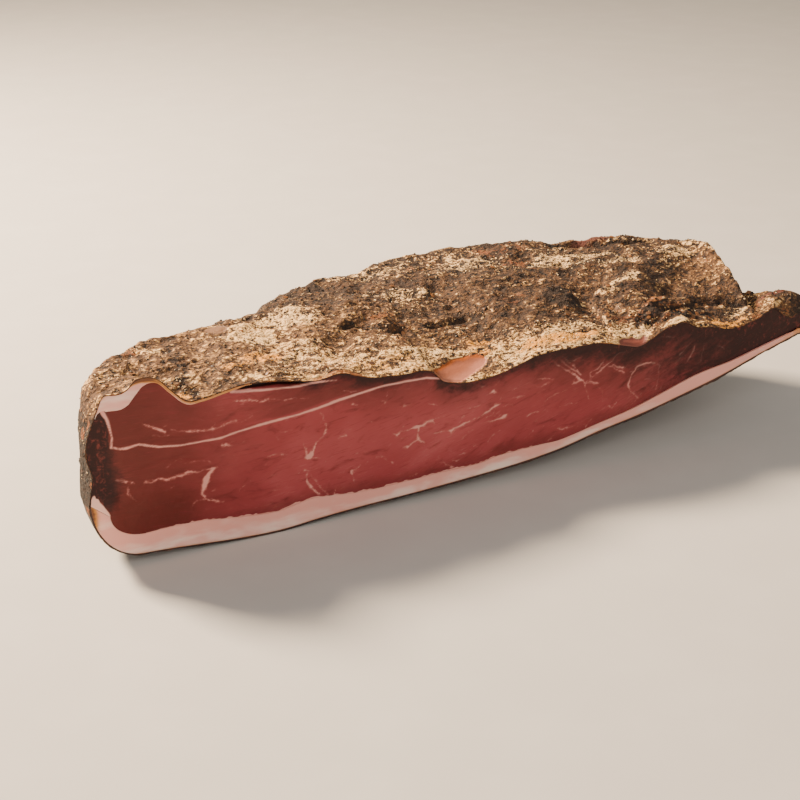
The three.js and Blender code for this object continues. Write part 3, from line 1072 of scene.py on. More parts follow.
@dataclass(frozen=True)
class DriedCrust:
    """The ham's outside: salt, pepper, smoke and noble mould dried into a hard crust.

    The eye sees grey-brown bark with cream and white bloom on the high parts, pepper specks,
    rusty chips, and smooth spots where it was trimmed or rubbed. Painted shade darkens its cracks,
    the hollows of its relief and the far part of its top, and a painted highlight lightens the
    trimmed spot's lower side.
    """

    dark: str = "#2f1f14"
    brown: str = "#624226"
    tan: str = "#b38450"
    rust: str = "#844c28"
    red: str = "#66372a"
    bloom: str = "#dba45c"
    white: str = "#ffd190"
    yellow: str = "#f4a640"
    black: str = "#130e0a"
    skin: str = "#835e42"
    fat: str = "#995a41"
    rim: str = "#a9561c"
    pale: str = "#b3735d"
    amber: str = "#955526"
    meat: str = "#7c4236"
    roughness: float = 0.85
    polished: float = 0.42

    def material(self) -> Material:
        """Builds the material.

        Returns:
            The material.
        """
        material, tree, shader, source = new_material(
            "spice and mould crust, air-dried", *CRUST_MARKS)
        source |= {
            "broad": mottle(tree, 12, (2.0, 1.3, 1), 3, 0.4),
            "middle": mottle(tree, 3.6, (1.8, 1.2, 1), 4, 0.6),
            "fine": mottle(tree, 2.3, (1.6, 1.2, 1), 3, 0.5),
            # Grains of spice and salt are 1 to 2 mm wide
            "grains": mottle(tree, 1.3, (1.3, 1.1, 1), 2, 0.3),
            "specks": mottle(tree, 1.5, (1.3, 1.1, 1), 1, 0.2),
        }
        seen = painted(
            tree, self.dark, source,
            (0.44, 0.51, {"middle": 0.15, "fine": 0.45, "grains": 0.40, "high": 0.08,
                          "dark": -0.09, "mould": 0.02}, self.brown),
            (0.55, 0.61, {"broad": 0.18, "fine": 0.45, "grains": 0.37, "high": 0.10, "dark": -0.10,
                          "mould": 0.03}, self.tan),
            (0.58, 0.68, {"rust": 0.2, "middle": 0.35, "fine": 0.55}, self.rust),
            (0.56, 0.61, {"mould": 0.15, "middle": 0.2, "fine": 0.40, "grains": 0.33, "high": 0.08,
                          "dark": -0.06}, self.bloom),
            (0.615, 0.665, {"mould": 0.14, "broad": 0.1, "middle": 0.11, "fine": 0.40,
                            "grains": 0.42, "high": 0.05, "cream": -0.04}, self.white),
            (0.62, 0.69, {"cream": 0.21, "middle": 0.25, "fine": 0.45, "grains": 0.25},
             self.yellow),
            # Dark crust, and painted shade in the relief's hollows and where the dark mark holds
            # shade
            (0.66, 0.76, {"low": 0.22, "dark": 0.15, "grains": 0.45, "fine": 0.37, "mould": -0.05},
             self.dark),
            (0.64, 0.71, {"specks": 1.0, "dark": 0.07, "mould": 0.03}, self.black),
            (0.70, 1.05, {"red": 0.7, "fine": 0.5, "middle": 0.4}, self.red),
            (0.55, 0.80, {"bare": 1.0, "fine": 0.3}, self.skin),
            (0.55, 0.70, {"facet": 1.0, "fine": 0.2}, self.fat),
            # Painted highlight on the trimmed spot's lower side
            (0.25, 1.15, {"pale": 1.0, "middle": 0.5}, self.pale),
            (0.40, 1.10, {"rim": 1.0, "fine": 0.5}, self.rim),
            (0.55, 0.95, {"amber": 1.0, "fine": 0.5}, self.amber),
            (0.95, 1.25, {"amber": 1.0, "grains": 0.8}, self.dark),
            (0.55, 0.95, {"meat": 1.0, "fine": 0.4}, self.meat),
        )
        polish = add_node(tree, "ShaderNodeMapRange", {
            0: source["gloss"], 1: 0.0, 2: 1.0, 3: self.roughness, 4: self.polished})
        # The relief of grains and salt fades out where the crust is smooth and glossy
        rough = add_node(tree, "ShaderNodeMath", {0: source["grains"], 1: 0.6, 2: source["fine"]},
                         operation="MULTIPLY_ADD").outputs[0]
        keep = add_node(tree, "ShaderNodeMath", {0: 1.0, 1: source["gloss"]},
                        operation="SUBTRACT", use_clamp=True).outputs[0]
        height = add_node(tree, "ShaderNodeMath", {0: rough, 1: keep}, operation="MULTIPLY")
        bump = add_node(tree, "ShaderNodeBump", {
            "Height": height.outputs[0], "Strength": 1.0, "Distance": 1.9 * MM})
        plug(tree, shader, {
            "Base Color": seen, "Roughness": polish.outputs[0], "Normal": bump.outputs[0]})
        return material


@dataclass(frozen=True)
class Crumb:
    """Loose bits in the crust: cracked spice, salt and mould crumbs, chips of dried skin.

    Attributes:
        name: what the bits are.
        low: colour of the darkest bits.
        high: colour of the palest bits.
        roughness: how matt they are.
    """

    name: str
    low: str
    high: str
    roughness: float

    def material(self) -> Material:
        """Builds the material: each bit has its own tone, with a fine mottling over it.

        Returns:
            The material.
        """
        material, tree, shader, source = new_material(self.name, "tone")
        source["fine"] = mottle(tree, 0.6)
        seen = painted(tree, self.low, source, (0.2, 1.2, {"tone": 1.0, "fine": 0.4}, self.high))
        bump = add_node(tree, "ShaderNodeBump", {
            "Height": source["fine"], "Strength": 0.5, "Distance": 0.2 * MM})
        plug(tree, shader, {
            "Base Color": seen, "Roughness": self.roughness, "Normal": bump.outputs[0]})
        return material


# Pieces

# Lines of fat in the cut face, as points (x, z, half the line's width); a width below 0 is faint
SEAMS = (
    ((2.4, 27.5, 3.8), (1.3, 31, 3.1), (0.3, 34.5, 2.0), (-0.8, 38.8, 0.3)),
    ((7, 78.5, 0.9), (8.8, 74, 0.6), (9.6, 69.5, 0.45), (10.2, 65, 0.45), (9.4, 60.6, 0.55)),
    ((9.4, 60.6, 0.55), (13, 59.2, 0.45), (16, 58.9, 0.6), (22, 59.7, 0.4), (27, 57.8, 0.5),
     (31, 56.6, 0.55), (41, 55.1, 0.4), (60, 54.7, 0.5), (69, 56.1, 0.45), (79, 57.6, 0.55),
     (99, 58.8, 0.45), (109, 60.3, 0.6), (119, 62.3, 0.65), (129, 63.5, 0.6), (140, 64.5, 0.45),
     (154, 64.9, 0.45), (165, 64.5, 0.5), (173, 62.6, 0.3)),
    ((66, 76.6, 0.7), (72, 75.9, 0.7), (80, 74.6, 0.5), (89, 73.7, 0.45), (99, 72.9, 0.5),
     (109, 72.9, 0.55), (118, 72.3, 0.15)),
)
VEINS = (
    ((37, 63.8, 0.1), (46, 60.9, 0.45), (53, 60, 0.35), (60, 60.2, 0.25), (68, 61.6, 0.1)),
    ((24, 69.6, 0.05), (28, 67, 0.2), (32, 64.8, 0.6), (34, 63.4, 0.1)),
    ((66, 72, 0.2), (80, 69.4, 0.2), (94, 67.2, 0.2), (104, 66.6, 0.05)),
    ((24, 41, 0.0), (27, 39.6, 0.15), (30, 41, 0.2), (33, 39.6, 0.6), (36, 40, 0.3),
     (42, 40.2, 0.1), (44, 40.8, 0.6), (49, 40.3, 0.3), (56, 40.4, 0.3)),
    ((55.6, 40.3, 0.3), (53.4, 38, 1.1), (52.2, 35.4, 1.5), (51, 31.6, 0.8), (50.2, 28.6, 0.6),
     (51, 26.2, 0.5), (54, 24.6, 0.25), (60, 22.6, 0.0)),
    ((50, 26, 0.35), (47, 25.2, 0.15), (44.5, 23.8, -0.1)),
    ((11, 44.4, 0.1), (13.5, 43.2, 0.5), (17.5, 41.6, 0.35), (19, 40.8, 0.05)),
    ((15, 39.4, 0.05), (15.6, 36.6, 0.5), (17, 34.4, 0.3), (19.4, 32.4, 0.05)),
    ((61, 51, 0.3), (63.4, 50.4, 0.4), (65, 49.6, 0.05)),
    ((83, 40.4, 0.1), (87, 40.8, 0.3), (92, 40, 0.1)),
    ((87, 49.2, 0.1), (88.2, 48, 0.3)),
    ((109.2, 57.6, 0.1), (111.4, 55.3, 0.2), (111.8, 51, 0.1), (111.8, 46.3, 0.4),
     (108.5, 43.8, 0.05), (106.1, 40.8, 0.15), (105.2, 38.4, 0.5), (103.8, 36.6, 2.0),
     (102.6, 36, 1.5)),
    ((103, 36.4, 0.9), (101, 39.3, 0.3), (100.6, 43, -0.1)),
    ((104, 36.2, 0.9), (106, 35.2, 0.3), (109.1, 34, -0.1)),
    ((100.3, 30.6, 0.1), (101.2, 29.7, 0.7), (102.9, 28.6, 0.3), (101.1, 25.7, 0.5),
     (101.6, 23.2, 0.7), (104.8, 18.5, 0.35), (107.5, 15.7, 0.3)),
    ((103.5, 27.2, 0.0), (108, 19.8, 0.1), (112.5, 13.9, 0.1)),
    ((116, 16.3, 0.0), (115, 13.8, 0.4)),
    ((118, 42.6, 0.0), (121.5, 43.2, 0.3)),
    ((124.6, 58.2, 0.0), (126.5, 58.9, 0.2), (128.5, 57.9, 0.0)),
    ((129.3, 26.3, 0.15), (127.3, 24.7, 0.1), (124.9, 23.9, 0.6), (125.4, 21.5, 0.1),
     (126, 18.6, 0.0)),
    ((131.1, 48.2, 0.0), (135.4, 47.5, 0.1)),
    ((138.5, 29, 0.3), (140.9, 28.2, 0.05), (142.2, 27, 0.4), (144.5, 25, 0.15),
     (146.7, 23.2, 0.6)),
    ((147.3, 39.3, 0.0), (149.3, 38.1, 0.45), (151.7, 39.2, 0.05), (155.8, 40, 0.15),
     (159.2, 40.1, 0.9), (162.3, 40.3, 0.25), (165.5, 41.6, 0.35), (168.4, 41.6, 0.6),
     (169.4, 39.9, 0.05)),
    ((168.4, 41.6, 0.1), (171.3, 42.5, 0.05), (174.6, 43.4, -0.2)),
    ((160.3, 39.5, 0.3), (160.7, 35.8, 0.1), (161.1, 32.8, 0.5), (164, 29.8, 0.1)),
    ((161.1, 32.8, 0.2), (157.4, 31.6, 0.1), (154.6, 30.2, 0.6), (152.6, 30.3, 0.05)),
    ((150, 52.4, 0.0), (153, 52.5, 0.2), (156.2, 52.6, 0.0)),
    ((166, 51.4, -0.1), (168.7, 50.5, 0.15), (170.8, 49.6, -0.1)),
    ((166.6, 34.8, -0.2), (173.2, 34.7, 0.05), (177.2, 34.6, 0.2), (178.8, 33.9, 0.9),
     (180.2, 35, 0.35), (184.8, 35.7, 0.35), (189, 37.3, 0.3), (194.8, 39, 0.2),
     (199.4, 41.1, 0.3), (202.4, 42.7, 0.7), (205.7, 43.5, 0.05)),
    ((178.8, 33.9, 0.5), (179.2, 32, 0.0)),
    ((194.9, 34.7, -0.2), (202.6, 34.7, 0.1), (206, 35.1, 0.3), (208, 35.8, 1.0),
     (209.8, 36.6, 0.3)),
    ((197.8, 48.9, -0.1), (200.1, 49.7, 0.1), (202.3, 50.6, 0.45), (203.4, 50, 0.0)),
    ((183, 45.2, -0.2), (188.1, 45, 0.15), (194, 44.8, -0.1)),
    ((205.8, 40.9, -0.1), (210.1, 41.8, 0.2), (212.7, 41.1, -0.1)),
    ((213.4, 44.7, -0.1), (216.8, 44.7, 0.2), (220.3, 45, -0.1)),
    ((225, 53, -0.3), (230.4, 51.8, 0.0), (235.7, 51, -0.2)),
    ((231, 65, -0.3), (236.2, 59.9, 0.0), (242.6, 54.3, 0.1), (248.1, 50.8, 0.2),
     (252.2, 47.5, 0.6), (255.1, 44.9, 0.35)),
    ((233.3, 65.7, -0.3), (239.6, 60.5, -0.05), (246.1, 54.4, 0.1), (252.7, 49.9, 0.3)),
    ((236, 65.2, -0.3), (242.7, 60.4, -0.1), (247.8, 55.3, 0.0), (251.6, 50.9, 0.1)),
    ((255.1, 44.9, 0.3), (257.4, 45.7, 0.4), (259.6, 43.5, 0.5), (262.1, 43.3, 0.5)),
    ((257.2, 46.2, 0.25), (258.4, 50.5, 0.1), (263.1, 52.5, 0.3), (266.1, 55.7, -0.1)),
    ((254.6, 45.3, 0.4), (256.2, 41, 0.2), (257.9, 35.4, 0.15)),
    ((260.6, 43, 0.1), (264.7, 39.3, 0.05), (266.1, 33.8, 0.0)),
    ((253.6, 46.9, 0.25), (250.5, 46.6, 0.15), (247.4, 46.4, -0.1)),
    ((265, 53.4, -0.2), (272.4, 50, 0.1), (278.1, 46.4, 0.2)),
    ((221.6, 33.6, -0.2), (225, 34.6, 0.1), (227.7, 34.5, -0.1)),
    ((239.7, 22.8, 0.0), (242.4, 21.7, 0.2), (245.3, 22.1, 0.0)),
    ((270, 29.8, 0.0), (272, 27.8, 0.15), (274.6, 30.7, 0.1)),
    ((171.7, 21.3, -0.2), (175.9, 16.2, 0.1), (180.2, 13.4, 0.2)),
    ((256, 46, 0.2), (262, 49.6, 0.2), (268, 53, 0.25), (274, 57, 0.25), (280, 58.6, 0.3),
     (291, 58.4, 0.05)),
    ((271, 51.8, 0.2), (277, 49.4, 0.25)),
    ((298, 48, 0.2), (294, 48.8, 0.35), (290, 48.8, 0.45), (286.5, 48, 0.4), (284, 45, 0.2),
     (282, 41, 0.3), (281.4, 38.6, 0.4), (284, 34, 0.15), (289, 30, 0.05)),
    ((298, 48, 0.2), (300, 46, 0.3), (300, 40, 0.15), (299.5, 33, 0.05)),
    ((291, 61, 0.1), (296, 62.2, 0.35), (302, 61.8, 0.15), (308, 60.4, 0.05)),
    ((313, 50, 0.05), (316, 53, 0.2), (320, 57, 0.05)),
    ((318, 45, 0.05), (321, 51, 0.25), (321.6, 54, 0.05)),
    ((326, 44, 0.05), (327.4, 49, 0.2), (327, 53, 0.05)),
    ((335, 52, 0.05), (340, 48.6, 0.2), (345, 46.2, 0.05)),
    ((232, 40, 0.0), (238, 42.4, 0.15), (244, 43.4, 0.0)),
    ((88, 52, 0.0), (91, 51.6, 0.2), (95, 51.8, 0.0)),
)
VEIN_REACH = 3.0
# Height of the long seam
SEAM_HEIGHT = Curve(((50, 54.8), (79, 57.6), (99, 58.8), (119, 62.3), (140, 64.5), (173, 62.6)))

# How the muscle fibres rise along the cut face
FLOW = Curve((
    (0, 0), (30, 0), (60, -3), (100, 0), (140, 6), (200, 20), (260, 38), (320, 58), (384, 84)))


def strokes(x: Array, z: Array, lines: tuple[Line, ...], uneven: float) -> Array:
    """How near points of the cut face are to tapering lines.

    near = 1 - (distance - half width + uneven * noise) / VEIN_REACH, held above 0, so it is 1 at
    the line's ragged edge. Inside the line the part over 1 counts VEIN_REACH times, so it rises
    by 1 for each millimetre.

    Args:
        x: place along the cut face.
        z: height on the cut face.
        lines: the lines, as points (x, z, half width).
        uneven: by about how many millimetres the half width swells and shrinks along a line.

    Returns:
        One value for each point.
    """
    best = np.zeros_like(x)
    flat = np.stack([x, np.zeros_like(x), z], -1)
    ragged = lumps(flat + 55, 8) + 0.5 * lumps(flat + 9, 2.6) + 0.35 * lumps(flat + 31, 1.3)
    for line in lines:
        for (ax, az, aw), (bx, bz, bw) in zip(line[:-1], line[1:]):
            t = ((x - ax) * (bx - ax) + (z - az) * (bz - az)) / ((bx - ax) ** 2 + (bz - az) ** 2)
            t = np.clip(t, 0, 1)
            off = np.hypot(x - ax - t * (bx - ax), z - az - t * (bz - az)) - aw - t * (bw - aw)
            best = np.maximum(best, 1 - off / VEIN_REACH)
    near = np.maximum(best - uneven * ragged / VEIN_REACH, 0)
    return near + (VEIN_REACH - 1) * np.maximum(near - 1, 0)


def hair_lines(seed: int, count: int) -> tuple[Line, ...]:
    """Short, faint lines of fat between the muscle fibres, mostly along them.

    Args:
        seed: seed of the random draws.
        count: how many lines there are.

    Returns:
        Lines of three points (x, z, half width); a width below 0 makes a line fainter.
    """
    rng = np.random.default_rng(seed)
    x = rng.uniform(20, 350, count)
    low, high = LOW_EDGE(x) + FAT_THICKNESS(x) + 2, TOP_EDGE(x) - 5
    z = low + (high - low) * rng.random(count)
    angle = np.arctan((FLOW(x + 4) - FLOW(x - 4)) / 8) + rng.normal(0.1, 0.35, count)
    length = rng.uniform(1.5, 6, count)
    bend = rng.normal(0, 0.25, count) * length
    width = rng.uniform(-0.6, -0.1, count)
    ahead, up = np.cos(angle), np.sin(angle)
    start = np.stack([x - length * ahead, z - length * up, width - 0.2], -1)
    middle = np.stack([x - bend * up, z + bend * ahead, width], -1)
    end = np.stack([x + length * ahead, z + length * up, width - 0.2], -1)
    return tuple(tuple(map(tuple, line)) for line in np.stack([start, middle, end], 1))


@dataclass(frozen=True)
class LeanMeat:
    """All the lean meat: a finely divided cut face closed by a plain shell behind it.

    Attributes:
        columns: columns of the cut face between its two ends.
        end_columns: columns at the blunt end and at the tip.
        rows: rows of the belly, the rind's curve, the rim, the wall and the top.
        back_columns: sections of the shell behind the cut.
        bend_columns: sections added to it at the blunt end and at the tip.
        back_step: how many times coarser the shell's rows are.
        sink: depth of the drying hollows in the cut face.
    """

    columns: int = 650
    end_columns: tuple[int, int] = (40, 28)
    rows: tuple[int, ...] = (9, 30, 6, 46, 32)
    back_columns: int = 75
    bend_columns: int = 30
    back_step: int = 4
    sink: float = 0.8

    def ring(self, form: HamForm, shares: Array) -> Array:
        """Outer lines of the meat: from the cut, under it, up the wall and over the top.

        Args:
            form: the ham's form.
            shares: where the sections stand.

        Returns:
            Points of the shape (sections, rows, 3).
        """
        s = form.sections(shares)
        belly, curve, rim, wall, top = self.rows
        under = rows_over((2, 1, belly), (1, 0, curve))
        low = form.hull(s, under, s.rim + CONTACT, s.fat + CONTACT, s.side_fat + CONTACT)
        over = rows_over((2, 1, wall), (1, 0, top))
        inset = form.crust_depth(s, over) + form.cap_depth(s, over) + 0.25
        high = form.crust(s, over, inset, False)
        t = np.linspace(0, 1, rim + 1)[None, 1:-1, None]
        ledge = low[:, -1:] + (high[:, :1] - low[:, -1:]) * t
        return np.concatenate([low, ledge, high], axis=1)

    def sunk(self, p: Array) -> Array:
        """The cut face with its drying hollows pushed in.

        Args:
            p: points in the plane of the cut.

        Returns:
            The points, moved back by 0.3 mm, by broad waves, and more where the meat is dry.
        """
        moved = p.copy()
        marks = face_marks(p)
        waves = 0.25 * lumps(p, (24, 9, 14)) + 0.06 * lumps(p, (2.2, 9, 2.2))
        # The hollow of the blunt end runs out above the fat's rim
        clear = np.maximum(smooth(p[..., 2], 35, 44), smooth(p[..., 0], 8, 16))
        hollow = self.sink * marks["dry"] * clear
        moved[..., 1] = np.maximum(
            0.0, (0.35 + waves) * (0.1 + 0.9 * clear) + hollow + marks["gap"])
        return moved

    def face(self, form: HamForm) -> Array:
        """The cut face: both end rings and the straight columns between them, blended.

        Args:
            form: the ham's form.

        Returns:
            Points of the shape (columns, rows, 3), in the plane of the cut.
        """
        first, last = self.ring(form, np.array([0.0, 1.0]))
        count = first.shape[0]
        x = np.linspace(FRONT_LEFT, FRONT_RIGHT, self.columns + 1)
        edges = self.ring(form, share_at(form, x))[:, [0, -1]]
        t = np.linspace(0, 1, count)[None, :, None]
        middle = edges[:, :1] + (edges[:, 1:] - edges[:, :1]) * t
        left = np.linspace(0, 1, self.end_columns[0], endpoint=False)[:, None, None]
        right = np.linspace(0, 1, self.end_columns[1] + 1)[1:, None, None]
        return np.concatenate([
            first + (middle[0] - first) * left, middle, middle[-1] + (last - middle[-1]) * right])

    def build(self, form: HamForm, material: Material) -> Piece:
        """Makes the piece and dresses it.

        Args:
            form: the ham's form.
            material: its material.

        Returns:
            The object.
        """
        face = self.sunk(self.face(form))
        feet = np.linspace(FRONT_LEFT + 0.3, FRONT_RIGHT - 0.5, self.back_columns)
        # The outline bends most at both ends, so more sections stand there
        bend = np.linspace(0, 1, self.bend_columns)
        shares = np.unique(np.concatenate([
            share_at(form, feet), 0.004 + 0.10 * bend, 0.996 - 0.22 * bend]))
        ring = self.ring(form, shares)
        count = ring.shape[1]
        keep = np.concatenate([[3], np.arange(6, count - 4, self.back_step), [count - 3]])
        back = ring[:, keep]
        shell = Shell()
        shell.grid(face)
        shell.grid(back)
        left, right = self.end_columns[0], len(face) - 1 - self.end_columns[1]
        level = keep / (count - 1)
        rows = np.linspace(0, 1, face.shape[1])
        shell.seam(face[0], back[0], rows, level)
        shell.seam(face[-1], back[-1], rows, level)
        for row in (0, -1):
            fine = face[left:right + 1, row]
            shell.seam(fine, back[:, row], fine[:, 0], back[:, row, 0])
        piece, points, _ = shell.close("lean_meat_body", form)
        marks = face_marks(points)
        marks.pop("gap")
        return dress(piece, material, Slot.LEAN, "lean_meat", 50, **marks)


def share_at(form: HamForm, front: Array) -> Array:
    """Shares of the outline whose sections start at places along the cut face.

    Args:
        form: the ham's form.
        front: x of the sections' first points, rising.

    Returns:
        The shares, found by reading the outline backwards.
    """
    shares = np.linspace(0, 1, 6001)
    found = form.sections(shares).front[:, 0]
    return np.interp(front, found, shares)


def face_marks(p: Array) -> dict[str, Array]:
    """What the cut face shows: dry, brown and rosy meat, veins, seams, gaps and painted shade.

    Each mark is a product of soft steps in the distance to a line of the form or in x and z,
    with their edges shifted by the wobble.

    Args:
        p: points of the meat.

    Returns:
        Arrays of values, mostly from 0 to 1, the gap in millimetres, and the fibres' coordinates.
    """
    x, z = p[..., 0], p[..., 2]
    flat = np.stack([x, np.zeros_like(x), z], -1)
    wobble = 1.6 * lumps(flat, 9) + 0.8 * lumps(flat, 3.5)
    below = TOP_EDGE(x) - z
    above = z - LOW_EDGE(x) - FAT_THICKNESS(x)
    # Behind the short seam at the blunt end the meat is dry with a clear edge; lower down the
    # edge is blurred
    seam_side = fade(x + 0.3 * wobble, 8.0, 9.6)
    blurred = fade(x + 1.6 * wobble - 0.06 * (60 - z), 3.0, 15.0)
    end = np.where(z > 60.5, seam_side, blurred) * smooth(z + wobble, 22, 36)
    # Dried meat towards the tip, darkened further with painted shade where the light falls off
    tip = smooth(x + 0.6 * (z - 50) + 4 * wobble, 234, 356)
    # Below the crust's edge: under marks dried meat with painted shadow, shaded marks painted shade
    # alone
    strength = Curve(((30, 0.0), (90, 0.5), (125, 0.95), (165, 0.9), (200, 0.8), (228, 0.9),
                      (262, 0.95), (300, 0.95), (384, 1.0)))(x)
    deep = Curve(((30, 4), (110, 10), (140, 14), (170, 12), (190, 10), (215, 12), (250, 20),
                  (290, 24), (330, 30), (384, 30)))(x)
    under = strength * fade(below + wobble, 0.0, deep)
    shaded = strength * fade(below + wobble, 0.3 * deep, 2.4 * deep)
    corner = fade(x, 30, 80) * fade(z, 26, 56)
    top_left = fade(x, 40, 80) * smooth(z, 58, 68)
    near_fat = fade(above + wobble, 0, 12)
    # Browner meat towards the blunt end, deepened with painted shade where the light falls off
    blunt = fade(x + 2 * wobble, 6, 120)
    # The muscle above the long seam is darker
    over_seam = smooth(z + 0.3 * wobble - SEAM_HEIGHT(x), 0, 2.5) * smooth(x, 50, 95)
    bent_x = x + 0.7 * lumps(flat, 3.6) + 0.25 * lumps(flat, 1.5)
    bent_z = z + 0.6 * lumps(flat + 60, 3.6) + 0.3 * lumps(flat + 20, 1.5)
    # Short tongues of the back fat reach into the meat
    tongues = above + 0.7 * lumps(flat + 40, 3.4) + 0.45 * lumps(flat + 70, 1.5)
    fringe = 1.6 * fade(tongues, 0.1, 1.0) * smooth(x, 24, 30)
    fringe = fringe * fade(x, 210, 260)
    # The crust stands off from the meat in a narrow slot, 2.2 mm deep; the tan mark paints it
    # near-black as painted shadow
    slot = smooth(x, 64, 74) * fade(x, 98, 110) * fade(below, 2.8, 4.4)
    flow = np.stack([x, np.zeros_like(x), z - FLOW(x)], -1) * MM
    return {
        # dry and brown hold painted shade (under, tip, shaded, blunt) as well as dried and brown
        # meat
        "dry": np.clip(np.maximum.reduce([end, 0.9 * tip, under]), 0, 1),
        "brown": np.maximum.reduce([
            0.6 * near_fat, corner, 0.8 * top_left, 0.95 * blunt, 0.75 * shaded]),
        "rose": np.exp(-((x - 130) / 100) ** 2 - ((z - 42) / 24) ** 2),
        "upper": over_seam * fade(x, 168, 180),
        "corner": corner,
        "vein": strokes(bent_x, bent_z, VEINS + hair_lines(5, 170), 0.35),
        "seam": np.maximum(fringe, strokes(
            x + 0.3 * lumps(flat, 7), z + 0.3 * lumps(flat + 60, 7), SEAMS, 0.1)),
        "horn": strokes(x, z, SEAMS[:1], 0.0),
        # tan: painted shadow in the slot under the crust; gap: the slot's depth in millimetres
        "tan": slot,
        "gap": 2.2 * slot,
        "flow": flow,
    }


@dataclass(frozen=True)
class BackFat:
    """The back fat: a bowl under the whole ham, open to the cut face.

    Its outer face is the hull's curve inset by the rind, its inner face the same curve inset by
    the fat, and a strip across the cut and along the rim joins them.

    Attributes:
        stations: sections along the outline.
        curve_rows: rows round the rind's curve.
        belly_rows: rows along the belly.
        face_rows: rows across the cut face of the fat.
    """

    stations: int = 400
    curve_rows: int = 34
    belly_rows: int = 16
    face_rows: int = 10

    def build(self, form: HamForm, material: Material) -> Piece:
        """Makes the piece and dresses it.

        Args:
            form: the ham's form.
            material: its material.

        Returns:
            The object.
        """
        s = form.sections(np.linspace(0, 1, self.stations + 1))
        rows = rows_over((0, 1, self.curve_rows), (1, 2, self.belly_rows))
        rind = RIND_THICKNESS(s.front)
        outer = form.hull(s, rows, s.side, rind, rind)
        inner = form.hull(s, rows, s.rim, s.fat, s.side_fat)
        shell = Shell()
        shell.grid(outer)
        shell.grid(inner)
        shell.strip(loop(outer), loop(inner), self.face_rows)
        piece, p, _ = shell.close("back_fat_band", form)
        x, y, z = p.T
        wobble = lumps(p, 5)
        skin = z - LOW_EDGE(x) - RIND_THICKNESS(x)
        left = fade(x + 1.2 * wobble, -2.5, 4.5)
        corner = 1.1 * left * smooth(z, 4, 12) * (1 - 0.6 * smooth(x, -1, 2))
        rim = 0.5 * fade(skin, 0.1, 0.9)
        back = smooth(y, 2, 6)
        tip = smooth(x + 4 * wobble, 372, 392)
        inside = 0.25 + 0.55 * smooth(skin / FAT_THICKNESS(x) + 0.15 * wobble, 0.3, 0.8)
        pink = inside + 0.3 * lumps(p, (40, 9, 8)) + 0.3 * smooth(x, 250, 330)
        return dress(piece, material, Slot.FAT, "back_fat", 50, pink=np.clip(pink, 0, 1),
                     amber=np.maximum.reduce([corner, rim, 0.5 * back, 0.6 * tip]))


@dataclass(frozen=True)
class Rind:
    """The smoked rind: a leathery skin on the outside of the back fat.

    Its outer face is the hull's curve pushed in by the relief, its inner face the same curve
    inset by the rind's thickness.

    Attributes:
        stations: sections along the outline.
        curve_rows: rows round the rind's curve.
        belly_rows: rows along the belly.
        step: how many times coarser the hidden inner face is.
    """

    stations: int = 480
    curve_rows: int = 60
    belly_rows: int = 40
    step: int = 5

    def relief(self, p: Array) -> Array:
        """Wrinkles and knobs, pushed inwards only, deeper and coarser towards the tip.

        Depth = fine ridges and lumps + two sizes of knobs that come in from x 230 to 330.

        Args:
            p: points of the smooth rind.

        Returns:
            Depth in millimetres for each point.
        """
        right = smooth(p[..., 0], 230, 330)
        fine = 0.12 * (1 + ridges(p, (6, 6, 2.5))) + 0.08 * (1 + lumps(p, 2.2))
        knobs = 0.35 * (1 + lumps(p, 3.2)) + 0.2 * (1 + lumps(p, 1.7))
        return fine + right * knobs

    def build(self, form: HamForm, material: Material) -> Piece:
        """Makes the piece and dresses it.

        Args:
            form: the ham's form.
            material: its material.

        Returns:
            The object.
        """
        s = form.sections(np.linspace(0, 1, self.stations + 1))
        rows = rows_over((0, 1, self.curve_rows), (1, 2, self.belly_rows))
        smooth_face = form.hull(s, rows, s.side, 0.0, 0.0)
        dent = self.relief(smooth_face)
        # It lies flat on the floor, so the wrinkles run out there
        resting = fade(smooth_face[..., 2], 0.0, 1.5)
        dent = dent * (1 - resting) + 0.02 * resting
        outer = form.hull(s, rows, s.side, dent, dent)
        thick = RIND_THICKNESS(s.front) - 0.05
        inner = form.hull(s, rows, s.side, thick, thick)
        shell = Shell()
        shell.skin(outer, inner, self.step)
        piece, p, depth = shell.close("smoked_rind", form)
        above = p[:, 2] - rind_height(p[:, 0], p[:, 1])
        bloom = smooth(above + 6 * lumps(p, 12), 14, 34)
        return dress(piece, material, Slot.FAT, "back_fat", 55, cut=depth, bloom=bloom)


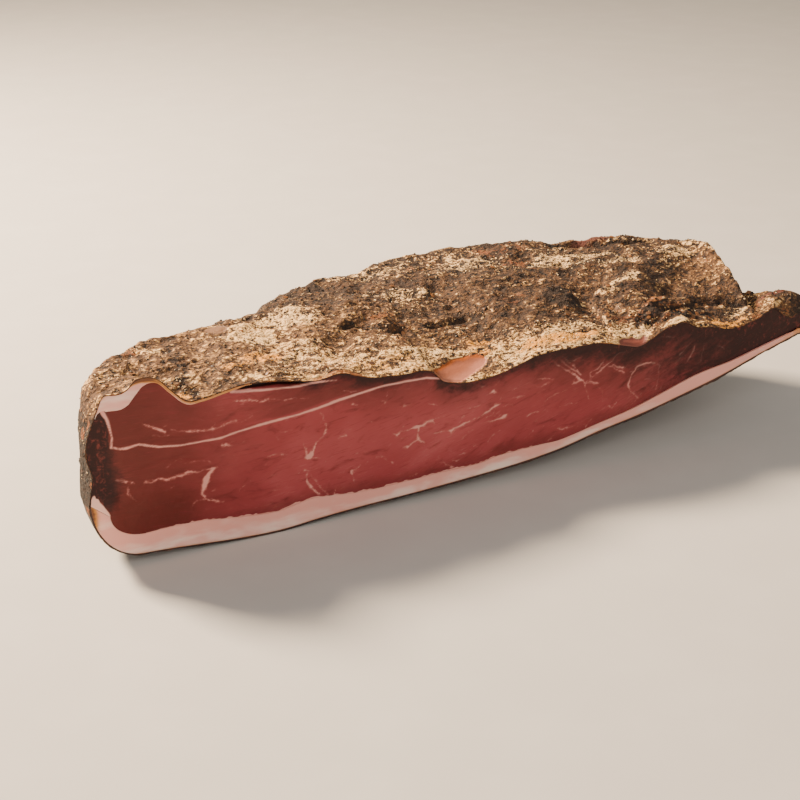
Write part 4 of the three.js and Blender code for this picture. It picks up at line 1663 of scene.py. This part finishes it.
@dataclass(frozen=True)
class CapFat:
    """The cap of fat under the crust of the blunt end.

    Its upper face is the crust inset by the crust's thickness, its lower face lies the cap's
    thickness further in, and a strip all round joins them.

    Attributes:
        stations: sections along the outline.
        rows: rows from the cut face to the crest.
        shoulder_rows: rows round the shoulder.
        face_rows: rows across its cut face.
    """

    stations: int = 150
    rows: int = 40
    shoulder_rows: int = 15
    face_rows: int = 8

    def build(self, form: HamForm, material: Material) -> Piece:
        """Makes the piece and dresses it.

        Args:
            form: the ham's form.
            material: its material.

        Returns:
            The object.
        """
        front = np.linspace(FRONT_LEFT, CAP_END, self.stations)
        shares = np.unique(np.concatenate([share_at(form, front), np.linspace(0, 0.1, 30)]))
        s = form.sections(shares)
        rows = rows_over((0, 1, self.rows), (1, 1.45, self.shoulder_rows))
        crust = form.crust_depth(s, rows) + 0.1
        cap = np.maximum(form.cap_depth(s, rows), 0.25)
        upper = form.crust(s, rows, crust, False)
        lower = form.crust(s, rows, crust + cap, False)
        shell = Shell()
        shell.grid(upper)
        shell.grid(lower)
        shell.strip(loop(upper), loop(lower), self.face_rows)
        piece, p, _ = shell.close("cap_fat_wedge", form)
        x, _, z = p.T
        below = TOP_EDGE(x) - z - CRUST_THICKNESS
        rim = fade(below + 0.4 * lumps(p, 3), 0.3, 2.2)
        tall = 0.65 + 0.7 * np.exp(-((x - 23) / 9) ** 2)
        return dress(piece, material, Slot.FAT, "cap_fat", 50, amber=rim * tall,
                     pink=np.clip(0.3 + 0.5 * smooth(x, 28, 50), 0, 1))


# Zones of the crust on the plan, from the blunt end to the tip
MOULD = (
    Oval(190, 6, 150, 22, 0.62, 0.6),
    Oval(14, 24, 15, 14, 0.35), Oval(41, 40, 14, 8, 0.5), Oval(94, 46, 22, 13, 1.0),
    Oval(118, 60, 22, 14, 1.0), Oval(104, 28, 22, 13, 0.7), Oval(125, 18, 24, 8, 0.75),
    Oval(158, 14, 22, 7, 0.8), Oval(184, 69, 26, 14, 0.45), Oval(150, 30, 20, 7, 0.5),
    Oval(234, 93, 40, 11, 0.55), Oval(298, 84, 36, 14, 0.85), Oval(318, 72, 22, 8, 0.8),
    Oval(306, 46, 12, 5, 1.0), Oval(295, 44, 7, 8, 0.9), Oval(231, 8, 34, 9, 0.9),
    Oval(210, 20, 30, 9, 0.5), Oval(350, 62, 16, 12, 0.7), Oval(368, 62, 8, 20, 0.6),
    Oval(355, 12, 12, 8, 0.5), Oval(374, 4, 14, 4, 0.35), Oval(311, 2, 14, 4, 1.0),
    Oval(50, 12, 9, 9, 0.35),
)
CREAM = (
    Oval(91, 26, 16, 7, 0.9), Oval(76, 18, 14, 8, 0.7), Oval(48, 5, 9, 5, 0.7),
    Oval(207, 25, 14, 6, 0.8), Oval(245, 8, 34, 7, 0.95), Oval(150, 10, 30, 6, 0.6),
    Oval(110, 6, 40, 4, 0.5), Oval(345, 3, 18, 4, 0.8), Oval(362, 52, 8, 14, 0.4),
    Oval(225, 18, 18, 6, 0.5), Oval(205, 17, 10, 5, 0.9),
)
DARK = (
    Oval(158, 80, 24, 10, 0.5), Oval(267, 45, 15, 15, 1.0, 0.65), Oval(333, 51, 16, 9, 0.6),
    Oval(225, 46, 26, 10, 0.5), Oval(314, 15, 34, 12, 1.0), Oval(205, 60, 26, 12, 0.35),
    Oval(262, 66, 120, 62, 0.45, 0.6), Oval(394, 8, 20, 14, 0.8), Oval(345, 20, 34, 22, 0.5),
    Band(((47, 0), (49, 18), (52, 40), (57, 66)), 5.0, 0.4),
    # Every fissure is painted dark inside, as painted shade in the crack
    *(Band(line, width, strength) for (line, _, _), (width, strength)
      in zip(FISSURES, ((3.6, 0.7), (3.4, 0.6), (4.0, 0.9), (6.0, 0.9), (3.5, 1.0)))),
)
RUST = (
    Oval(31, 44, 14, 7, 0.8), Oval(16, 42, 12, 8, 0.6), Oval(169, 48, 20, 8, 0.7),
    Oval(220, 105, 34, 12, 0.7), Oval(266, 108, 30, 12, 0.8), Oval(267, 88, 22, 10, 0.7),
    Oval(306, 16, 34, 14, 0.8), Oval(329, 110, 24, 12, 0.7), Oval(340, 78, 10, 8, 0.6),
    Oval(375, 10, 16, 7, 0.7), Oval(175, 28, 20, 6, 0.5), Oval(240, 52, 20, 10, 0.5),
    Oval(344, 5, 12, 5, 0.7),
)
RED = (Oval(329, 108, 26, 8, 0.75), Oval(380, 12, 14, 4, 0.8), Oval(394, 8, 8, 5, 0.5))
BARE = (Oval(79, 56, 7, 4.8, 1.0, 0.75), Oval(291, 29.5, 6.5, 2.4, 0.55, 0.8))
# Outline of the trimmed spot
FACET_LINE = ((167, -1), (169, 3.5), (173, 9), (178, 13), (184, 15.2), (190, 17), (196, 17),
              (201.5, 15.6), (204, 12.5), (203.5, 9.6), (200, 7.2), (195, 5.4), (189, 3),
              (184.5, 0.6), (182, -1))


@dataclass(frozen=True)
class Crust:
    """The dried crust: a rough rind of its own over the top and the walls of the ham.

    Its outer face is HamForm.crust with its fine relief, its inner face the same form without
    it, inset by the crust's thickness.

    Attributes:
        stations: sections along the outline.
        top_rows: rows from the cut face to the crest.
        wall_rows: rows round the shoulder and down to the widest line.
        skirt: how far its ragged lower edge hangs over the rind, in millimetres.
        skirt_thickness: how thick that edge is.
        step: how many times coarser the hidden inner face is.
    """

    stations: int = 520
    top_rows: int = 100
    wall_rows: int = 58
    skirt: tuple[float, ...] = (1.0, 2.0, 3.0, 4.0)
    skirt_thickness: float = 0.6
    step: int = 6

    def rows(self) -> Array:
        """Rows of the outer face, as HamForm.crust reads them."""
        return np.concatenate([
            np.linspace(0, 1, self.top_rows, endpoint=False) ** 1.25,
            np.linspace(1, 2, self.wall_rows + 1), 2 + np.array(self.skirt)])

    def outer(self, form: HamForm) -> Array:
        """The rough outer face, of the shape (sections, rows, 3)."""
        s = form.sections(np.linspace(0, 1, self.stations + 1))
        return form.crust(s, self.rows(), 0.0, True)

    def build(self, form: HamForm, material: Material) -> Piece:
        """Makes the piece and dresses it.

        Args:
            form: the ham's form.
            material: its material.

        Returns:
            The object.
        """
        s = form.sections(np.linspace(0, 1, self.stations + 1))
        rows = self.rows()
        depth = form.crust_depth(s, rows)
        depth[:, -len(self.skirt) - 1:] = self.skirt_thickness
        shell = Shell()
        shell.skin(self.outer(form), form.crust(s, rows, depth, False), self.step)
        piece, p, depth = shell.close("dried_crust", form)
        return dress(piece, material, Slot.LEAN, "lean_meat", 75, **self.marks(p, depth))

    def marks(self, p: Array, depth: Array) -> dict[str, Array]:
        """What the crust shows at each point.

        Each mark is the strongest of its zones, or a product of soft steps in x, y, z or the
        distance to a line, with streaks and lumps added so that no edge is clean.

        Args:
            p: points of the crust.
            depth: 0 on the outer face, 1 on the inner one.

        Returns:
            Arrays of values from 0 to 1 for the material.
        """
        x, y, z = p.T
        wobbled = p + 3.0 * np.stack([lumps(p, 12), lumps(p + 50, 12), lumps(p + 80, 12)], -1)
        relief = fine_relief(p)
        wall = fade(z, 58, 76)
        # The trimmed spot is fat with an orange rim; its lower side is painted paler, a painted
        # highlight
        off = off_line(x, y, FACET_LINE + FACET_LINE[:1])
        ragged = 0.6 * lumps(p, 4) + 0.5 * lumps(p, 1.8)
        inside = smooth(off + ragged, -0.2, 0.9) * fade(off, 60, 80)
        over = y - 0.42 * (x - 172)
        above = y - 0.25 * (x - 172)
        rim = fade(off + 0.9 * lumps(p, 4), 0.4, 4.0) * smooth(above, 2, 5) * inside
        pale = fade(over + lumps(p, 6), -4, 4) * inside
        streaks = 0.35 * lumps(wobbled, (22, 7, 5)) + 0.3 * lumps(p, (9, 3.5, 3.5))
        patchy = 0.3 * lumps(wobbled, 26) + 0.3 * lumps(wobbled + 30, 11)
        # Mould covers the back too, and thins out low on the walls and at the tip
        behind = np.clip(smooth(y, 86, 110) + wall, 0, 1)
        mould = np.maximum(most(wobbled, MOULD) + streaks, 0.35 * behind + patchy)
        mould = mould * (1 - 0.6 * fade(z + 8 * lumps(p, 14), 40, 62) * smooth(y, 4, 20))
        # The wall of the blunt end is dark
        blunt = fade(z, 62, 84) * fade(x, 0, 20)
        mould = mould * (1 - 0.8 * blunt) * (1 - 0.5 * smooth(x, 372, 390))
        # The crust's cut edge: amber over the cap, thin and browner elsewhere
        cut = smooth(depth, 0.05, 0.5)
        edge = cut * (0.55 + 0.45 * fade(x, 34, 48) + 0.5 * lumps(p, 5))
        left_wall = 0.8 * fade(y, 5, 16) * fade(z, 72, 82) * fade(x, 0, 4)
        left_wall = left_wall * smooth(lumps(p, 3.4), -0.3, 0.6)
        # Bare meat and a spot rubbed glossy at the crust's edge
        meat = Oval(283, 1.2, 12, 4.4)(p + 1.5 * lumps(p, 3)[:, None])
        rubbed = Oval(117, 0, 19, 4.2, 0.55, 0.6)(p + 1.2 * lumps(p, 3)[:, None])
        return {
            "high": np.clip(0.5 + relief / 2.4, 0, 1),
            # low: depth of the relief's hollows, which the dark coat paints as painted shade
            "low": np.clip(0.5 - relief / 2.0, 0, 1),
            "mould": np.clip(mould, 0, 1),
            "cream": np.clip(most(wobbled, CREAM) + 0.8 * streaks, 0, 1),
            "rust": np.clip(np.maximum(most(wobbled, RUST), 0.5 * wall) - streaks, 0, 1),
            # dark: dark zones, painted shade in the fissures and over the far part of the top, and
            # the blunt end's wall
            "dark": np.clip(np.maximum.reduce([
                most(p, DARK), 0.6 * smooth(y, 50, 75)]), 0, 1 - blunt) + 1.5 * blunt,
            "red": most(wobbled, RED),
            "bare": most(p, BARE),
            "facet": inside,
            "pale": pale,
            "rim": rim,
            "meat": meat,
            "amber": np.clip(np.maximum.reduce([edge, left_wall, rubbed]), 0, 1),
            "gloss": np.clip(0.9 * inside + most(p, BARE) * 0.7 + meat + rubbed, 0, 1),
        }


@dataclass(frozen=True)
class LooseBits:
    """Many small bits of one kind, set into the crust's outer face and joined in one piece.

    Attributes:
        name: the piece's name.
        seed: seed of its random draws.
        count: how many bits there are.
        size: least and greatest size in millimetres.
        flatness: height of a bit as a share of its width.
        finish: their finish.
        zones: where they gather; elsewhere they are thin on the ground.
        spread: chance of a bit outside the zones.
        margin: rows of the crust along its edges that stay free of bits.
        back: y of the solids' back in millimetres, past which no bit may stand out.
    """

    name: str
    seed: int
    count: int
    size: tuple[float, float]
    flatness: float
    finish: Crumb
    zones: tuple[Oval | Band, ...]
    spread: float
    margin: int = 8
    back: float = 135.1

    def pebble(self) -> tuple[Array, Array]:
        """A rounded bit one unit wide: a ring of six points between two rings of three.

        Returns:
            Its points and its triangles.
        """
        turn = np.arange(6) * math.pi / 3
        belt = np.stack([np.cos(turn), np.sin(turn), np.zeros(6)], -1) * 0.5
        small = np.arange(3) * 2 * math.pi / 3 + math.pi / 6
        cap = np.stack([0.28 * np.cos(small), 0.28 * np.sin(small), np.full(3, 0.42)], -1)
        points = np.concatenate([belt, cap, cap * (1, 1, -1)])
        faces = [(6, 7, 8), (9, 11, 10)]
        for k in range(3):
            a, b, c, n = 2 * k, 2 * k + 1, (2 * k + 2) % 6, (k + 1) % 3
            faces += [(a, b, 6 + k), (b, c, 6 + k), (c, 6 + n, 6 + k)]
            faces += [(b, a, 9 + k), (c, b, 9 + k), (9 + n, c, 9 + k)]
        return points, np.array(faces)

    def build(self, form: HamForm, crust: Array) -> Piece:
        """Scatters the bits over the crust and dresses them.

        Args:
            form: the ham's form.
            crust: the crust's outer face, of the shape (sections, rows, 3).

        Returns:
            The object.
        """
        rng = np.random.default_rng(self.seed)
        m = self.margin
        inner = crust[1:-1, m:-m]
        along = crust[2:, m:-m] - crust[:-2, m:-m]
        across = crust[1:-1, m + 1:1 - m] - crust[1:-1, m - 1:-1 - m]
        normal = np.cross(along, across)
        area = np.linalg.norm(normal, axis=-1)
        normal = normal / area[..., None]
        normal = normal * np.where(normal[..., 2:] + 0.01 * normal[..., 1:2] < 0, -1, 1)
        chance = area * (self.spread + most(inner, self.zones)) * (1 - most(inner, SMOOTH_SPOTS))
        chance = (chance * (0.35 + smooth(lumps(inner, 7), -0.2, 0.6))).reshape(-1)
        picked = rng.choice(len(chance), self.count, replace=False, p=chance / chance.sum())
        place, up = inner.reshape(-1, 3)[picked], normal.reshape(-1, 3)[picked]
        side = np.cross(up, rng.normal(size=(self.count, 3)))
        side = side / np.linalg.norm(side, axis=1, keepdims=True)
        axes = np.stack([side, np.cross(up, side), up], 1)
        base, faces = self.pebble()
        width = self.size[0] + (self.size[1] - self.size[0]) * rng.random(self.count) ** 2.5
        # Each point of a bit moves by its own draw, so that none is regular
        uneven = rng.normal(size=(self.count, len(base), 3)).clip(-1.5, 1.5)
        shape = base[None] * (1 + 0.28 * uneven)
        shape = shape * width[:, None, None] * np.array([1.0, 0.8, self.flatness])
        lift = (0.12 * self.flatness + 0.08) * width
        points = place[:, None] + np.einsum("nvi,nij->nvj", shape, axes)
        points = points + (up * lift[:, None])[:, None]
        count = len(base)
        joined = (faces[None] + count * np.arange(self.count)[:, None, None]).reshape(-1, 3)
        # None stands out past the plane of the cut or the solids' back
        points[..., 1] = points[..., 1].clip(0.0, self.back)
        piece = mesh_piece(self.name, form.to_frame(points.reshape(-1, 3)), joined)
        turn_out(piece)
        tone = np.repeat(rng.random(self.count), count)
        return dress(piece, self.finish.material(), Slot.LEAN, "lean_meat", 35, tone=tone)


BITS = (
    LooseBits("cracked_spice", 11, 2600, (0.4, 1.5), 0.6,
              Crumb("cracked black pepper and juniper", "#120d0a", "#4a3524", 0.6),
              DARK + RUST, 0.45),
    LooseBits("mould_crumbs", 23, 2800, (0.35, 1.2), 0.55,
              Crumb("noble mould and salt, dried to crumbs", "#b5976a", "#f8dcae", 0.9),
              MOULD + CREAM, 0.10),
    LooseBits("crust_chips", 37, 620, (0.8, 3.2), 0.14,
              Crumb("chips of dried skin", "#33211a", "#8f5c30", 0.5),
              (Oval(312, 15, 36, 14), Oval(169, 45, 24, 10, 0.4), Oval(275, 26, 24, 12, 0.4)),
              0.03),
)


@dataclass(frozen=True)
class Lamp:
    """A soft square light that looks at the ham's middle.

    Attributes:
        name: the light's name.
        place: where it hangs, in metres.
        size: length of its side in metres.
        power: watts.
        tint: its colour.
    """

    name: str
    place: Triple
    size: float
    power: float
    tint: str

    def build(self) -> None:
        """Makes the light."""
        data = bpy.data.lights.new(self.name, "AREA")
        data.size = self.size
        data.energy = self.power
        data.color = colour(self.tint)[:3]
        lamp = bpy.data.objects.new(self.name, data)
        lamp.location = self.place
        aim = Vector((0.0, 0.0, 0.04)) - Vector(self.place)
        lamp.rotation_euler = aim.to_track_quat("-Z", "Y").to_euler()
        bpy.context.scene.collection.objects.link(lamp)


@dataclass(frozen=True)
class Studio:
    """Plain pale floor, soft light and the camera.

    Attributes:
        azimuth: degrees that the camera has gone round from straight in front of the cut face.
        elevation: degrees that it looks down.
        place: where it stands, in millimetres of the ham's form.
        lens: focal length in millimetres.
        sensor: width of the sensor in millimetres.
        floor_reach: half the floor's width in metres.
        lamps: the lights.
        sky: colour of the light from all round.
        sky_strength: how strong that light is.
    """

    azimuth: float = -26.0
    elevation: float = 24.0
    place: Triple = (-146.28, -608.21, 357.49)
    lens: float = 70.0
    sensor: float = 36.0
    floor_reach: float = 6.0
    lamps: tuple[Lamp, ...] = (
        Lamp("key", (-0.7, 0.8, 0.9), 0.32, 84.0, "#ffe4c4"),
        Lamp("fill", (-0.3, -1.4, 0.9), 1.4, 14.0, "#fff6f0"),
    )
    sky: str = "#efe9df"
    sky_strength: float = 0.36

    def floor(self) -> None:
        """Makes the floor: matt pale board, far wider than the view."""
        corners = self.floor_reach * np.array([(-1.0, -1, 0), (1, -1, 0), (1, 1, 0), (-1, 1, 0)])
        floor = mesh_piece("floor", corners, np.array([(0, 1, 2), (0, 2, 3)]))
        material, tree, shader, source = new_material("matt pale board, painted")
        source["grain"] = mottle(tree, 40)
        seen = painted(tree, "#cfcac3", source, (0.3, 1.2, {"grain": 1.0}, "#d8d3cc"))
        plug(tree, shader, {"Base Color": seen, "Roughness": 0.9})
        floor.data.materials.append(material)

    def build(self, form: HamForm) -> None:
        """Makes the floor, the lights and the camera.

        Args:
            form: the ham's form, which moves the camera's place into the frame.
        """
        self.floor()
        for lamp in self.lamps:
            lamp.build()
        world = bpy.data.worlds.new("studio")
        world.use_nodes = True
        plug(world.node_tree, world.node_tree.nodes["Background"], {
            "Color": colour(self.sky), "Strength": self.sky_strength})
        bpy.context.scene.world = world
        data = bpy.data.cameras.new("camera")
        data.lens = self.lens
        data.sensor_width = self.sensor
        data.clip_end = 20.0
        camera = bpy.data.objects.new("camera", data)
        camera.location = form.to_frame(np.array(self.place))
        camera.rotation_euler = Euler(
            (math.radians(90 - self.elevation), 0, math.radians(self.azimuth)))
        bpy.context.scene.collection.objects.link(camera)
        bpy.context.scene.camera = camera


def ham_form() -> HamForm:
    """The form, placed by the back fat's solid: its low corner is the outline's first point."""
    low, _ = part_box("back_fat")
    return HamForm(shift=(low.x / MM - OUTLINE[0, 0], low.y / MM, low.z / MM))


def main() -> None:
    """Builds the ham's pieces in order, then the studio."""
    logging.basicConfig(level=logging.INFO, format="%(name)s: %(message)s")
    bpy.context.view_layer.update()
    form = ham_form()
    fat = CuredFat().material()
    LeanMeat().build(form, CutLean().material())
    BackFat().build(form, fat)
    Rind().build(form, SmokedRind().material())
    CapFat().build(form, fat)
    crust = Crust()
    crust.build(form, DriedCrust().material())
    outer = crust.outer(form)
    for bits in BITS:
        bits.build(form, outer)
    Studio().build(form)


if __name__ == "__main__":
    main()
